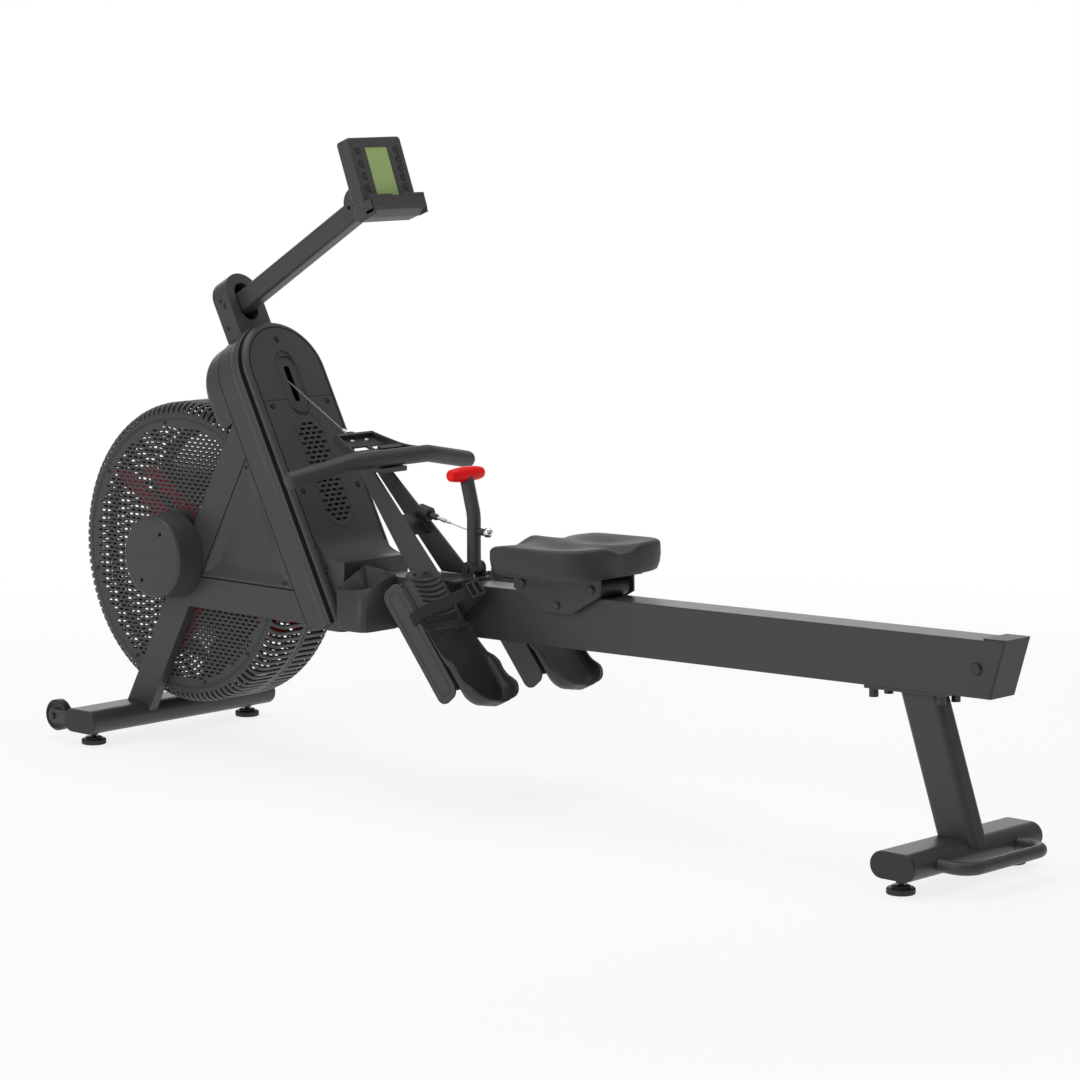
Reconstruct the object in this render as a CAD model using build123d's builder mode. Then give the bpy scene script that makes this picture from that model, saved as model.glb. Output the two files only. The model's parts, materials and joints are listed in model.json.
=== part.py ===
from build123d import *
from math import cos, degrees, hypot, pi, radians, sin, tan
import os

os.makedirs("parts", exist_ok=True)

# Rowing machine, in millimetres. X runs from the fan to the rear foot, Y to the
# rower's right and Z up. The origin is on the floor under the middle of the machine.
# "left" pieces are on the rower's left, at negative Y.

# Clearances
running = 0.05
loose = 0.3
bolt_gap = 0.2

# Feet
foot_x = -1015.0
rear_foot_x = foot_x + 2090.0
foot_z = 52.0
foot_width = 98.0
foot_height = 50.0
foot_wall = 2.5
front_foot_length = 514.0
rear_foot_length = 378.0
end_cap_thick = 3.5
end_cap_plug = 15.0
front_leveller_inset = 37.0
rear_leveller_inset = 24.0
front_leveller_y = front_foot_length / 2 - front_leveller_inset
rear_leveller_y = rear_foot_length / 2 - rear_leveller_inset
pad_radius = 26.0
pad_height = 12.0
pad_boss_radius = 17.0
pad_boss_height = 4.0
stud_radius = 5.0
stud_length = 38.0
nut_across = 17.0
nut_height = 7.0

# Transport wheels
wheel_x = foot_x - 95.0
wheel_inset = 23.0
wheel_y = front_foot_length / 2 - wheel_inset
wheel_radius = 33.0
wheel_width = 24.0
wheel_side_gap = 1.0
fork_thick = 4.0
fork_width = 30.0
wheel_bolt_radius = 4.0
bolt_head_height = 5.0

# Fan and cage
fan_x = foot_x + 134.0
fan_z = 404.7
cage_radius = 317.0
cage_half_width = 85.0
cage_wall = 3.0
cage_corner = 27.0
cage_rim_face = 9.0
cage_ledge = 19.0
cage_slots = 40
cage_slot_width = 13.0
cage_slot_depth = 23.0
cage_slot_inner = cage_radius - cage_slot_depth
cage_seam_band = 9.0
grille_radius = cage_radius - cage_corner - cage_rim_face
cage_ledge_inner = grille_radius - cage_ledge
grille_hole_radius = 40.0
grille_thick = 3.0
grille_margin = 12.0
grille_pitch_x = 52.0
grille_pitch_z = 26.0
grille_slot_length = 38.0
grille_slot_height = 14.0
grille_clear_radius = 92.0
axle_radius = 8.5
bearing_radius = 17.5
bearing_width = 14.0
hub_tube_radius = 22.0
hub_half_width = 62.0
hub_disc_radius = 60.0
hub_disc_thick = 6.0
blade_count = 4
blade_first_angle = 58.0
blade_tip_gap = 30.0
blade_tip_radius = cage_radius - cage_wall - blade_tip_gap
blade_inner_y = 15.0
blade_outer_y = 60.0
blade_thick = 3.0
drum_half_width = 12.0
drum_flange = 8.0
cable_port_radius = 8.0

# Side frames
frame_outer_y = 108.0
upright_width = 67.0
upright_lean = 28.8
upright_x = foot_x - 23.0
upright_z = 70.0
upright_top_z = 700.0
brace_bottom_z = 300.0
brace_height = 65.0
axle_lug_radius = 66.0
axle_lug_reach = 18.0
hub_cover_face_radius = 85.0
hub_cover_base_radius = 92.0
hub_cover_depth = 64.0
hub_cover_wall = 3.0
hub_cover_screw_radius = 58.0
hub_cover_screw_angle = 60.0
screw_well_radius = 4.5
frame_wall = 2.5
axle_boss_radius = 30.0
pulley_boss_radius = 14.0
side_panel_thick = 3.0
side_panel_emboss = 2.0
side_panel_border = 26.0

# Column: n runs out of its rear face and u runs up it
column_x = foot_x + 451.6
column_z = 649.2
column_lean = 28.0
post_front_n = -88.0
post_width = 43.0
post_top_u = 192.0
column_bottom_z = 295.0
shroud_half_width = 112.0
shroud_wall = 3.0
shroud_depth = 88.0
shroud_edge = 14.0
arch_u = 170.0
panel_half_width = 97.0
panel_thick = 3.0
panel_bottom_u = -195.0
scoop_radius = 136.0
scoop_turn = 40.0
scoop_half_width = 86.0
cable_slot_u = 140.0
cable_slot_length = 80.0
cable_slot_width = 15.0
cable_recess_length = 146.0
cable_recess_width = 52.0
cable_recess_depth = 2.0
vent_bottom_u = -168.0
vent_top_u = 65.0
vent_pitch_u = 10.6
vent_pitch_y = 18.0
vent_slot_height = 5.2
vent_slot_length = 13.0
apex_half_width = 110.0
apex_depth = 62.0
apex_bottom_u = 100.0
apex_edge = 24.0
apex_chamfer_u = 80.0
apex_chamfer_n = 24.0
apex_cage_gap = 2.0
beam_front_n = -70.0
beam_thick = 12.0
beam_top_u = -240.0
beam_bottom_u = -366.0
brace_end_u = -300.0
post_bottom_u = -430.0

# Rail: s runs along its top face and h up from that face
rail_tilt = 1.3
rail_datum_z = 391.7
rail_width = 70.0
rail_height = 103.5
rail_wall = 3.0
rail_tail_s = 2208.5
rail_tail_slant = 19.1
end_cap_plate = 5.0
end_cap_lip_length = 44.0
end_cap_lip_height = 4.0
seat_stop_s = 1053.0
seat_stop_length = 8.0
seat_stop_height = 10.0
cross_bolt_s = 2150.0
cross_bolt_h = -52.0
cross_bolt_radius = 6.0

# Rear leg
leg_top_s = 2008.0
leg_lean = 18.9
leg_depth = 80.0
leg_width = 45.0
leg_wall = 3.0
leg_corner = 12.0
flange_length = 178.0
flange_width = 66.0
flange_thick = 6.0
flange_shift = -20.0
flange_bolt_along = 150.0
flange_bolt_across = 44.0
leg_bolt_radius = 5.0
leg_bolt_across = 16.0
leg_bolt_length = 16.0
lift_tube_radius = 12.0
lift_half_width = 118.0
lift_rear_x = foot_x + 2201.0
lift_corner = 32.0
lift_z = 50.0

# Return cord in the rail
cord_radius = 4.0
cord_front_s = 640.0

# Footboards: a runs down the board and b out of its face
board_x = foot_x + 867.0
board_z = 432.0
board_slope = 50.7
board_inner_y = 62.0
board_outer_y = 183.0
board_length = 262.0
board_depth = 55.0
board_thick = 4.0
board_skin = 3.0
board_corner = 20.0
board_stub_a = 84.0
board_stub_b = -33.0
board_stub_radius = 14.0
toe_pad_length = 96.0
toe_pad_height = 14.0
toe_pad_inset = 16.0
toe_pad_start = 6.0
toe_rib_pitch = 11.0
toe_rib_width = 5.0
toe_rib_height = 2.5
toe_rib_count = 6
heel_top_a = 118.0
heel_bottom_a = 302.0
heel_wall = 4.0
heel_side_gap = 4.0
heel_rim = 46.0
heel_rim_start_a = 190.0
heel_corner = 34.0
heel_travel = 12.0
strap_a = 86.0
strap_width = 38.0
strap_thick = 2.5
strap_slot_b = -14.0
buckle_length = 44.0
buckle_width = 30.0
buckle_thick = 6.0

# Handle, its rest and the pull cable
bar_x = foot_x + 668.0
bar_z = 641.0
bar_radius = 17.5
bar_bend_y = 108.0
bar_end_x = foot_x + 640.0
bar_end_y = 260.0
bar_end_z = 613.0
bar_bend_radius = 60.0
clip_x = foot_x + 533.0
clip_z = 686.0
yoke_half_width = 80.0
yoke_front_half_width = 52.0
yoke_thick = 5.0
yoke_border = 16.0
yoke_rib = 12.0
clamp_inset = 8.0
clamp_length = 26.0
clip_radius = 7.0
clip_length = 32.0
cable_radius = 2.0
pulley_radius = 30.0
pulley_width = 14.0
pulley_flange = 5.0
pulley_axle_radius = 6.0
pulley_entry_length = 230.0
strut_foot_y = 42.0
strut_top_y = 23.0
strut_foot_z = 425.0
strut_top_z = 616.0
strut_foot_x = foot_x + 814.0
strut_top_x = foot_x + 621.0
strut_foot_half = 42.0
strut_top_half = 22.0
strut_thick = 5.0
rest_plate_front = 764.0
rest_plate_rear = 900.0
rest_plate_thick = 6.0
rest_plate_half_width = 52.0
saddle_half_width = 34.0
saddle_length = 52.0
saddle_thick = 10.0
saddle_lip = 12.0
bridge_share = 0.45
bridge_length = 50.0

# Resistance lever and its cable
lever_x = foot_x + 872.0
lever_y = 30.0
lever_z = 434.0
lever_tube_radius = 14.0
lever_bend_z = 540.0
lever_top_x = foot_x + 850.0
lever_top_z = 620.0
lever_pivot_radius = 6.0
lever_boss_radius = 13.0
lever_boss_half = 15.0
ear_thick = 5.0
ear_gap = 0.5
ear_radius = 14.0
grip_radius = 15.5
grip_length = 92.0
grip_end_radius = 12.0
wire_lever_z = 508.0
wire_start_x = foot_x + 735.0
wire_start_z = 537.0
wire_start_y = 20.0
wire_radius = 1.5
rod_radius = 4.0
rod_length = 46.0
barrel_radius = 11.0
barrel_length = 26.0
ball_radius = 10.0
ball_stem = 16.0
ball_collar_radius = 5.5

# Seat
seat_s = 1168.0
axle_half_span = 90.0
roller_radius = 17.0
roller_lift = 0.2
roller_half_length = 44.0
roller_bore = 5.0
plate_inner_y = 46.0
plate_thick = 4.0
plate_bottom_h = -34.0
deck_h = 38.0
deck_thick = 4.0
guide_radius = 9.0
cushion_length = 250.0
cushion_half_width = 142.0
cushion_height = 58.0
cushion_crown = 9.0
cushion_tuck = 6.0
cushion_notch = 8.0

# Bottle tray
tray_front_x = foot_x + 622.0
tray_rear_x = foot_x + 756.0
tray_outer_y = 126.0
tray_floor_z = 301.0
tray_front_z = 385.0
tray_rear_z = 408.0
tray_wall = 3.0
tray_corner = 24.0

# Mast bracket, console arm and console
bracket_half_width = 47.0
bracket_front_n = -90.0
bracket_depth = 45.0
bracket_arch_u = 364.0
bracket_edge = 4.0
bracket_slot_width = 46.0
bracket_slot_bottom_u = 305.0
bracket_slot_top_u = 389.0
bracket_slot_depth = 37.0
arm_pivot_n = -60.0
arm_pivot_u = 346.0
arm_height = 44.0
arm_width = 40.0
arm_corner = 9.0
arm_wall = 2.5
arm_port_radius = 6.0
arm_pin_radius = 6.0
arm_end_radius = 20.0
knuckle_x = foot_x + 607.0
knuckle_z = 1150.0
knuckle_radius = 33.0
knuckle_half_width = 34.0
barrel_half_width = 21.0
knuckle_pin_radius = 6.0
console_x = foot_x + 650.0
console_z = 1215.0
console_tilt = 21.0
console_half_width = 75.0
console_top_u = 72.0
console_bottom_u = -96.0
console_thick = 34.0
console_corner = 8.0
ledge_reach = 24.0
ledge_top_u = -61.0
ledge_bottom_u = -88.0
ledge_wall = 4.0
screen_half_width = 31.0
screen_half_height = 51.0
screen_thick = 3.0
key_radius = 5.0
key_column = 53.0
key_depth = 6.0
key_proud = 0.8
left_key_count = 4
right_key_count = 5
key_span = 78.0
key_centre_u = 4.0


def side(y):
    """Vertical plane at a given y, drawn in X and Z, facing the rower's left."""
    return Plane.XZ.offset(-y)


def tilted(x, z, angle, y=0.0):
    """Vertical plane at y, turned in itself by an angle above the X axis."""
    return Plane(
        origin=(x, y, z),
        x_dir=(cos(radians(angle)), 0, sin(radians(angle))),
        z_dir=(0, -1, 0),
    )


def column_side(y=0.0):
    return tilted(column_x, column_z, column_lean, y)


def rail_side(y=0.0):
    return tilted(foot_x, rail_datum_z, rail_tilt, y)


def board_side(y=0.0):
    return tilted(board_x, board_z, -board_slope, y)


def console_side(y=0.0):
    return tilted(console_x, console_z, console_tilt, y)


def facing(x, z, angle, out=0.0):
    """Plane whose normal rises from +X by an angle, drawn in Y and up its face."""
    normal = Vector(cos(radians(angle)), 0, sin(radians(angle)))
    return Plane(origin=Vector(x, 0, z) + normal * out, x_dir=(0, 1, 0), z_dir=normal)


def column_face(n=0.0):
    return facing(column_x, column_z, column_lean, n)


def console_face(n=0.0):
    return facing(console_x, console_z, console_tilt, n)


def place(plane, a, b):
    """X and Z of a point given in a tilted side plane."""
    point = plane.from_local_coords((a, b, 0))
    return point.X, point.Z


def turn_about_y(profile, x, z):
    """Revolve a closed half profile of (radius, y) points about a line along Y."""
    with BuildSketch(Plane.XY.offset(z)) as half:
        with BuildLine():
            Polyline(*[(x + radius, y) for radius, y in profile], close=True)
        make_face()
    revolve(half.sketch, axis=Axis((x, 0, z), (0, 1, 0)))


def tombstone(half_width, centre, bottom):
    """Arch-topped outline: straight sides up to a half circle."""
    with BuildLine() as outline:
        Line((-half_width, bottom), (half_width, bottom))
        Line((half_width, bottom), (half_width, centre))
        ThreePointArc((half_width, centre), (0, centre + half_width), (-half_width, centre))
        Line((-half_width, centre), (-half_width, bottom))
    make_face(outline.edges())


def mirrored(piece):
    """The rower's right-hand twin of a left-hand piece."""
    with BuildPart() as twin:
        mirror(piece.part, about=Plane.XZ)
    return twin


# Feet
frame_inner_y = cage_half_width
foot_bottom = foot_z - foot_height / 2
fork_y = wheel_width / 2 + wheel_side_gap + fork_thick / 2


def foot_tube(x, length):
    with BuildSketch(side(0)) as section:
        with Locations((x, foot_z)):
            SlotOverall(foot_width, foot_height)
            SlotOverall(
                foot_width - 2 * foot_wall, foot_height - 2 * foot_wall, mode=Mode.SUBTRACT
            )
    extrude(section.sketch, amount=length / 2, both=True)


def stud_holes(x, y):
    with Locations((x, -y, foot_bottom), (x, y, foot_bottom)):
        Cylinder(stud_radius + bolt_gap, 3 * foot_wall, mode=Mode.SUBTRACT)


with BuildPart() as front_foot:
    foot_tube(foot_x, front_foot_length)
    for y in (wheel_y - fork_y, wheel_y + fork_y):
        for sign in (-1, 1):
            with BuildSketch(side(sign * y)):
                with Locations(((wheel_x + foot_x) / 2, foot_z)):
                    SlotCenterToCenter(foot_x - wheel_x, fork_width)
                with Locations((foot_x, foot_z)):
                    SlotOverall(
                        foot_width - foot_wall, foot_height - foot_wall, mode=Mode.SUBTRACT
                    )
                with Locations((wheel_x, foot_z)):
                    Circle(wheel_bolt_radius + bolt_gap, mode=Mode.SUBTRACT)
            extrude(amount=fork_thick / 2, both=True)
    stud_holes(foot_x, front_leveller_y)

with BuildPart() as rear_foot:
    foot_tube(rear_foot_x, rear_foot_length)
    stud_holes(rear_foot_x, rear_leveller_y)

with BuildPart() as foot_end_caps:
    for x, length in ((foot_x, front_foot_length), (rear_foot_x, rear_foot_length)):
        for sign in (-1, 1):
            with BuildSketch(side(sign * length / 2)):
                with Locations((x, foot_z)):
                    SlotOverall(foot_width, foot_height)
            extrude(amount=-sign * end_cap_thick, taper=20)
            with BuildSketch(side(sign * length / 2)):
                with Locations((x, foot_z)):
                    SlotOverall(
                        foot_width - 2 * foot_wall - 2 * bolt_gap,
                        foot_height - 2 * foot_wall - 2 * bolt_gap,
                    )
            extrude(amount=sign * end_cap_plug)

leveller_places = [
    (x, sign * y)
    for x, y in ((foot_x, front_leveller_y), (rear_foot_x, rear_leveller_y))
    for sign in (-1, 1)
]
stud_bottom_z = pad_boss_height

with BuildPart() as leveller_pads:
    with BuildSketch(Plane.XY):
        with Locations(*leveller_places):
            Circle(pad_radius)
    extrude(amount=pad_height)
    with BuildSketch(Plane.XY.offset(pad_height)):
        with Locations(*leveller_places):
            Circle(pad_boss_radius)
    extrude(amount=pad_boss_height)
    with BuildSketch(Plane.XY.offset(stud_bottom_z)):
        with Locations(*leveller_places):
            Circle(stud_radius + running)
    extrude(amount=pad_height + pad_boss_height, mode=Mode.SUBTRACT)

# Wheels
hub_recess = 3.0
tread_edge = 4.0

with BuildPart() as wheel_left:
    low = -wheel_y - wheel_width / 2
    high = -wheel_y + wheel_width / 2
    turn_about_y(
        [
            (wheel_bolt_radius + running, low),
            (wheel_radius * 0.4, low),
            (wheel_radius * 0.45, low + hub_recess),
            (wheel_radius * 0.75, low + hub_recess),
            (wheel_radius * 0.8, low),
            (wheel_radius - tread_edge, low),
            (wheel_radius, low + tread_edge),
            (wheel_radius, high - tread_edge),
            (wheel_radius - tread_edge, high),
            (wheel_radius * 0.8, high),
            (wheel_radius * 0.75, high - hub_recess),
            (wheel_radius * 0.45, high - hub_recess),
            (wheel_radius * 0.4, high),
            (wheel_bolt_radius + running, high),
        ],
        wheel_x,
        foot_z,
    )

wheel_right = mirrored(wheel_left)

# Column datums shared by the frame, the shroud and the drive
lean_cos = cos(radians(column_lean))
lean_sin = sin(radians(column_lean))
slope = tan(radians(upright_lean))
post_rear_n = post_front_n + post_width
pulley_line_radius = pulley_radius + cable_radius
clip_local = column_side().to_local_coords(Vector(clip_x, 0, clip_z))
slot_cross = Vector(0, cable_slot_u - cable_slot_length * 0.1)
cable_up = (slot_cross - Vector(clip_local.X, clip_local.Y)).normalized()
entry_point = Vector(clip_local.X, clip_local.Y) + cable_up * pulley_entry_length
pulley_local = entry_point + Vector(-cable_up.Y, cable_up.X) * pulley_line_radius
pulley_x, pulley_z = place(column_side(), pulley_local.X, pulley_local.Y)


def upright_edge(z, offset=0.0):
    """X of the upright's front edge, or of a line behind it, at a height."""
    return upright_x + (z - upright_z) * slope + offset


upright_span = upright_width / cos(radians(upright_lean))

# Side frames: upright, brace and post in one plane, with a lug for the fan axle
frame_thick = frame_outer_y - frame_inner_y

# Hollow of each side frame's tubes, open at the foot and at the column's lower end
upright_skin = frame_wall / cos(radians(upright_lean))
brace_top_z = brace_bottom_z + brace_height
brace_end_x, brace_end_z = place(column_side(), post_front_n + post_width / 2, brace_end_u)

with BuildPart() as frame_core:
    with BuildSketch(side(-frame_inner_y - frame_wall)):
        low = foot_z - foot_height
        high = upright_top_z - frame_wall
        with BuildLine():
            Polyline(
                (upright_edge(low, upright_skin), low),
                (upright_edge(low, upright_span - upright_skin), low),
                (upright_edge(high, upright_span - upright_skin), high),
                (upright_edge(high, upright_skin), high),
                close=True,
            )
        make_face()
        with BuildLine():
            Polyline(
                (upright_edge(brace_bottom_z, upright_span / 2), brace_bottom_z + frame_wall),
                (brace_end_x - frame_wall, brace_bottom_z + frame_wall),
                (brace_end_x - frame_wall, brace_top_z - frame_wall),
                (upright_edge(brace_top_z, upright_span / 2), brace_top_z - frame_wall),
                close=True,
            )
        make_face()
        with Locations((fan_x, fan_z)):
            Circle(axle_boss_radius, mode=Mode.SUBTRACT)
    extrude(amount=frame_thick - 2 * frame_wall)
    with BuildSketch(column_side(-frame_inner_y - frame_wall)):
        with BuildLine():
            Polyline(
                (post_front_n + frame_wall, post_bottom_u),
                (post_rear_n - frame_wall, post_bottom_u),
                (post_rear_n - frame_wall, post_top_u - frame_wall),
                (post_front_n + frame_wall, post_top_u - frame_wall),
                close=True,
            )
        make_face()
        with Locations((pulley_local.X, pulley_local.Y)):
            Circle(pulley_boss_radius, mode=Mode.SUBTRACT)
    extrude(amount=frame_thick - shroud_wall - 2 * frame_wall)

with BuildPart() as side_frame_left:
    with BuildSketch(side(-frame_inner_y)):
        with BuildLine():
            Polyline(
                (upright_edge(foot_z), foot_z),
                (upright_edge(foot_z, upright_span), foot_z),
                (upright_edge(upright_top_z, upright_span), upright_top_z),
                (upright_edge(upright_top_z), upright_top_z),
                close=True,
            )
        make_face()
        with Locations((foot_x, foot_z)):
            SlotOverall(foot_width, foot_height, mode=Mode.SUBTRACT)
        with Locations((fan_x + axle_lug_reach / 2, fan_z)):
            SlotCenterToCenter(axle_lug_reach, 2 * axle_lug_radius)
        with BuildLine():
            Polyline(
                (upright_edge(brace_bottom_z, upright_span / 2), brace_bottom_z),
                (brace_end_x, brace_bottom_z),
                (brace_end_x, brace_top_z),
                (upright_edge(brace_top_z, upright_span / 2), brace_top_z),
                close=True,
            )
        make_face()
    extrude(amount=frame_thick)
    with BuildSketch(column_side(-frame_inner_y)):
        with BuildLine():
            Polyline(
                (post_front_n, post_bottom_u),
                (post_rear_n, post_bottom_u),
                (post_rear_n, post_top_u),
                (post_front_n, post_top_u),
                close=True,
            )
        make_face()
    extrude(amount=frame_thick - shroud_wall)
    add(frame_core.part, mode=Mode.SUBTRACT)
    split(bisect_by=Plane.XY.offset(foot_z), keep=Keep.TOP)
    with BuildSketch(side(0)):
        with Locations((column_x, column_bottom_z - 200)):
            Rectangle(400, 400)
    extrude(amount=frame_outer_y + loose, mode=Mode.SUBTRACT)
    with BuildSketch(side(0)):
        with Locations((fan_x, fan_z)):
            Circle(axle_radius + running)
        with Locations((pulley_x, pulley_z)):
            Circle(pulley_axle_radius + running)
    extrude(amount=frame_outer_y + loose, mode=Mode.SUBTRACT)

side_frame_right = mirrored(side_frame_left)

# Triangular panels that close the frame windows
post_low = place(column_side(), post_front_n, 0)
post_high = place(column_side(), post_front_n, 100)
post_run = (post_high[0] - post_low[0]) / (post_high[1] - post_low[1])


def window(inset):
    """Corners of the window between upright, brace and post, drawn in by an inset."""
    bottom = brace_top_z + inset
    upright_line = upright_edge(0, upright_span) + inset / cos(radians(upright_lean))
    post_line = post_low[0] - post_low[1] * post_run - inset / lean_cos
    top = (post_line - upright_line) / (slope - post_run)
    return [
        (upright_line + bottom * slope, bottom),
        (post_line + bottom * post_run, bottom),
        (upright_line + top * slope, top),
    ]


with BuildPart() as side_panels:
    with BuildSketch(side(-frame_outer_y + side_panel_thick)):
        with BuildLine():
            Polyline(*window(loose), close=True)
        make_face()
    extrude(amount=side_panel_thick)
    with BuildSketch(side(-frame_outer_y)):
        with BuildLine():
            Polyline(*window(side_panel_border), close=True)
        make_face()
    extrude(amount=side_panel_emboss, taper=45)
    mirror(about=Plane.XZ)

# Hub covers over the axle lugs
with BuildPart() as hub_covers:
    base_y = -frame_outer_y
    face_y = base_y - hub_cover_depth
    edge = 6.0
    turn_about_y(
        [
            (hub_cover_base_radius, base_y),
            (hub_cover_face_radius + 1, face_y + edge),
            (hub_cover_face_radius - 2, face_y + edge / 3),
            (hub_cover_face_radius - edge, face_y),
            (0, face_y),
            (0, face_y + hub_cover_wall),
            (hub_cover_face_radius - edge - 1, face_y + hub_cover_wall),
            (hub_cover_face_radius - hub_cover_wall, face_y + edge + 1),
            (hub_cover_base_radius - hub_cover_wall, base_y),
        ],
        fan_x,
        fan_z,
    )
    screw_x = hub_cover_screw_radius * cos(radians(hub_cover_screw_angle))
    screw_z = hub_cover_screw_radius * sin(radians(hub_cover_screw_angle))
    screw_places = [(fan_x + screw_x, fan_z + screw_z), (fan_x - screw_x, fan_z - screw_z)]
    with BuildSketch(side(base_y)):
        with Locations(*screw_places):
            Circle(screw_well_radius + hub_cover_wall)
    extrude(amount=hub_cover_depth - hub_cover_wall / 2)
    with BuildSketch(side(base_y - hub_cover_wall)):
        with Locations(*screw_places):
            Circle(screw_well_radius)
    extrude(amount=hub_cover_depth, mode=Mode.SUBTRACT)
    mirror(about=Plane.XZ)

# Cage halves: slotted rims that meet at the middle plane and hold the grilles
cable_run = (Vector(pulley_x, 0, pulley_z) - Vector(fan_x, 0, fan_z)).normalized()
cable_side = Vector(-cable_run.Z, 0, cable_run.X)
drum_entry = Vector(fan_x, 0, fan_z) + cable_side * pulley_line_radius
pulley_exit = Vector(pulley_x, 0, pulley_z) + cable_side * pulley_line_radius

with BuildPart() as cage_left:
    with BuildSketch(Plane.XY.offset(fan_z)):
        inner = cage_radius - cage_wall
        flat = cage_radius - cage_corner
        face = -cage_half_width
        with BuildLine():
            Polyline(
                (fan_x + inner, 0),
                (fan_x + cage_radius, 0),
                (fan_x + cage_radius, face + cage_corner),
            )
            RadiusArc(
                (fan_x + cage_radius, face + cage_corner), (fan_x + flat, face), cage_corner
            )
            Polyline(
                (fan_x + flat, face),
                (fan_x + grille_radius + loose, face),
                (fan_x + grille_radius + loose, face + grille_thick),
                (fan_x + cage_ledge_inner, face + grille_thick),
                (fan_x + cage_ledge_inner, face + grille_thick + cage_wall),
                (fan_x + flat, face + grille_thick + cage_wall),
                (fan_x + inner, face + cage_corner),
                (fan_x + inner, 0),
            )
        make_face()
    revolve(axis=Axis((fan_x, 0, fan_z), (0, 1, 0)))
    slot_reach = (cage_slot_inner + cage_radius + cage_wall) / 2
    with BuildSketch(side(-cage_seam_band)):
        with Locations((fan_x, fan_z)):
            with PolarLocations(slot_reach, cage_slots):
                Rectangle(cage_radius + cage_wall - cage_slot_inner, cage_slot_width)
    extrude(amount=cage_half_width, mode=Mode.SUBTRACT)
    with BuildSketch(Plane(origin=drum_entry, z_dir=cable_run)):
        Circle(cable_port_radius)
    extrude(amount=cage_radius + 2 * cable_port_radius, mode=Mode.SUBTRACT)

cage_right = mirrored(cage_left)

# Grilles: one perforated disc in each cage half, slots laid like bricks
grille_slots = []
rows = int(grille_radius // grille_pitch_z)
columns = int(grille_radius // grille_pitch_x) + 1
for row in range(-rows, rows + 1):
    for column in range(-columns, columns + 1):
        x = (column + 0.5 * (row % 2)) * grille_pitch_x
        z = row * grille_pitch_z
        far = hypot(abs(x) + grille_slot_length / 2, abs(z) + grille_slot_height / 2)
        near_x = max(abs(x) - grille_slot_length / 2, 0)
        near_z = max(abs(z) - grille_slot_height / 2, 0)
        if far < grille_radius - grille_margin and hypot(near_x, near_z) > grille_clear_radius:
            grille_slots.append((fan_x + x, fan_z + z))

with BuildPart() as cage_grilles:
    with BuildSketch(side(-cage_half_width + grille_thick)):
        with Locations((fan_x, fan_z)):
            Circle(grille_radius)
            Circle(grille_hole_radius, mode=Mode.SUBTRACT)
        with Locations(*grille_slots):
            Rectangle(grille_slot_length, grille_slot_height, mode=Mode.SUBTRACT)
    extrude(amount=grille_thick)
    mirror(about=Plane.XZ)

# Drive: axles, bearings, fan hub, paddles, cable drum and guide pulley
with BuildPart() as drive_axles:
    with BuildSketch(side(frame_outer_y)):
        with Locations((fan_x, fan_z)):
            Circle(axle_radius)
    extrude(amount=2 * frame_outer_y)
    with BuildSketch(side(frame_outer_y - shroud_wall - loose)):
        with Locations((pulley_x, pulley_z)):
            Circle(pulley_axle_radius)
    extrude(amount=2 * (frame_outer_y - shroud_wall - loose))

with BuildPart() as fan_bearings:
    for sign in (-1, 1):
        y = sign * (hub_half_width - bearing_width / 2)
        turn_about_y(
            [
                (axle_radius + running, y - bearing_width / 2),
                (bearing_radius, y - bearing_width / 2),
                (bearing_radius, y + bearing_width / 2),
                (axle_radius + running, y + bearing_width / 2),
            ],
            fan_x,
            fan_z,
        )

with BuildPart() as fan_hub:
    bore = bearing_radius + running / 2
    inner_disc = blade_inner_y
    outer_disc = blade_inner_y + hub_disc_thick
    turn_about_y(
        [
            (bore, -hub_half_width),
            (hub_tube_radius, -hub_half_width),
            (hub_tube_radius, -outer_disc),
            (hub_disc_radius, -outer_disc),
            (hub_disc_radius, -inner_disc),
            (hub_tube_radius, -inner_disc),
            (hub_tube_radius, inner_disc),
            (hub_disc_radius, inner_disc),
            (hub_disc_radius, outer_disc),
            (hub_tube_radius, outer_disc),
            (hub_tube_radius, hub_half_width),
            (bore, hub_half_width),
        ],
        fan_x,
        fan_z,
    )
    web_inner = hub_tube_radius - 1
    web_outer = hub_disc_radius + 25
    for turn in range(blade_count):
        plane = tilted(fan_x, fan_z, blade_first_angle + turn * 360 / blade_count)
        for sign in (-1, 1):
            with BuildSketch(plane.offset(-sign * outer_disc)):
                with Locations(((web_inner + web_outer) / 2, blade_thick)):
                    Rectangle(web_outer - web_inner, blade_thick)
            extrude(amount=-sign * (hub_half_width - outer_disc) * 0.8)

with BuildPart() as fan_blades:
    for turn in range(blade_count):
        angle = radians(blade_first_angle + turn * 360 / blade_count)
        radial = Vector(cos(angle), 0, sin(angle))
        normal = Vector(-sin(angle), 0, cos(angle))
        plane = Plane(
            origin=Vector(fan_x, 0, fan_z) - normal * (blade_thick / 2),
            x_dir=radial,
            z_dir=normal,
        )
        across = plane.y_dir.Y
        for sign in (-1, 1):
            inner_y = sign * across * (blade_inner_y + hub_disc_thick)
            middle_y = sign * across * blade_inner_y
            outer_y = sign * across * blade_outer_y
            with BuildSketch(plane):
                with BuildLine():
                    Polyline(
                        (hub_tube_radius + 8, inner_y),
                        (hub_disc_radius + loose, inner_y),
                        (hub_disc_radius + loose, middle_y),
                        (blade_tip_radius, middle_y),
                        (blade_tip_radius, outer_y * 0.93),
                        (blade_tip_radius - 25, outer_y),
                        (hub_disc_radius + 60, outer_y),
                        (hub_tube_radius + 8, outer_y * 0.6),
                        close=True,
                    )
                make_face()
            extrude(amount=blade_thick)

groove_radius = pulley_line_radius - cable_radius

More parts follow.
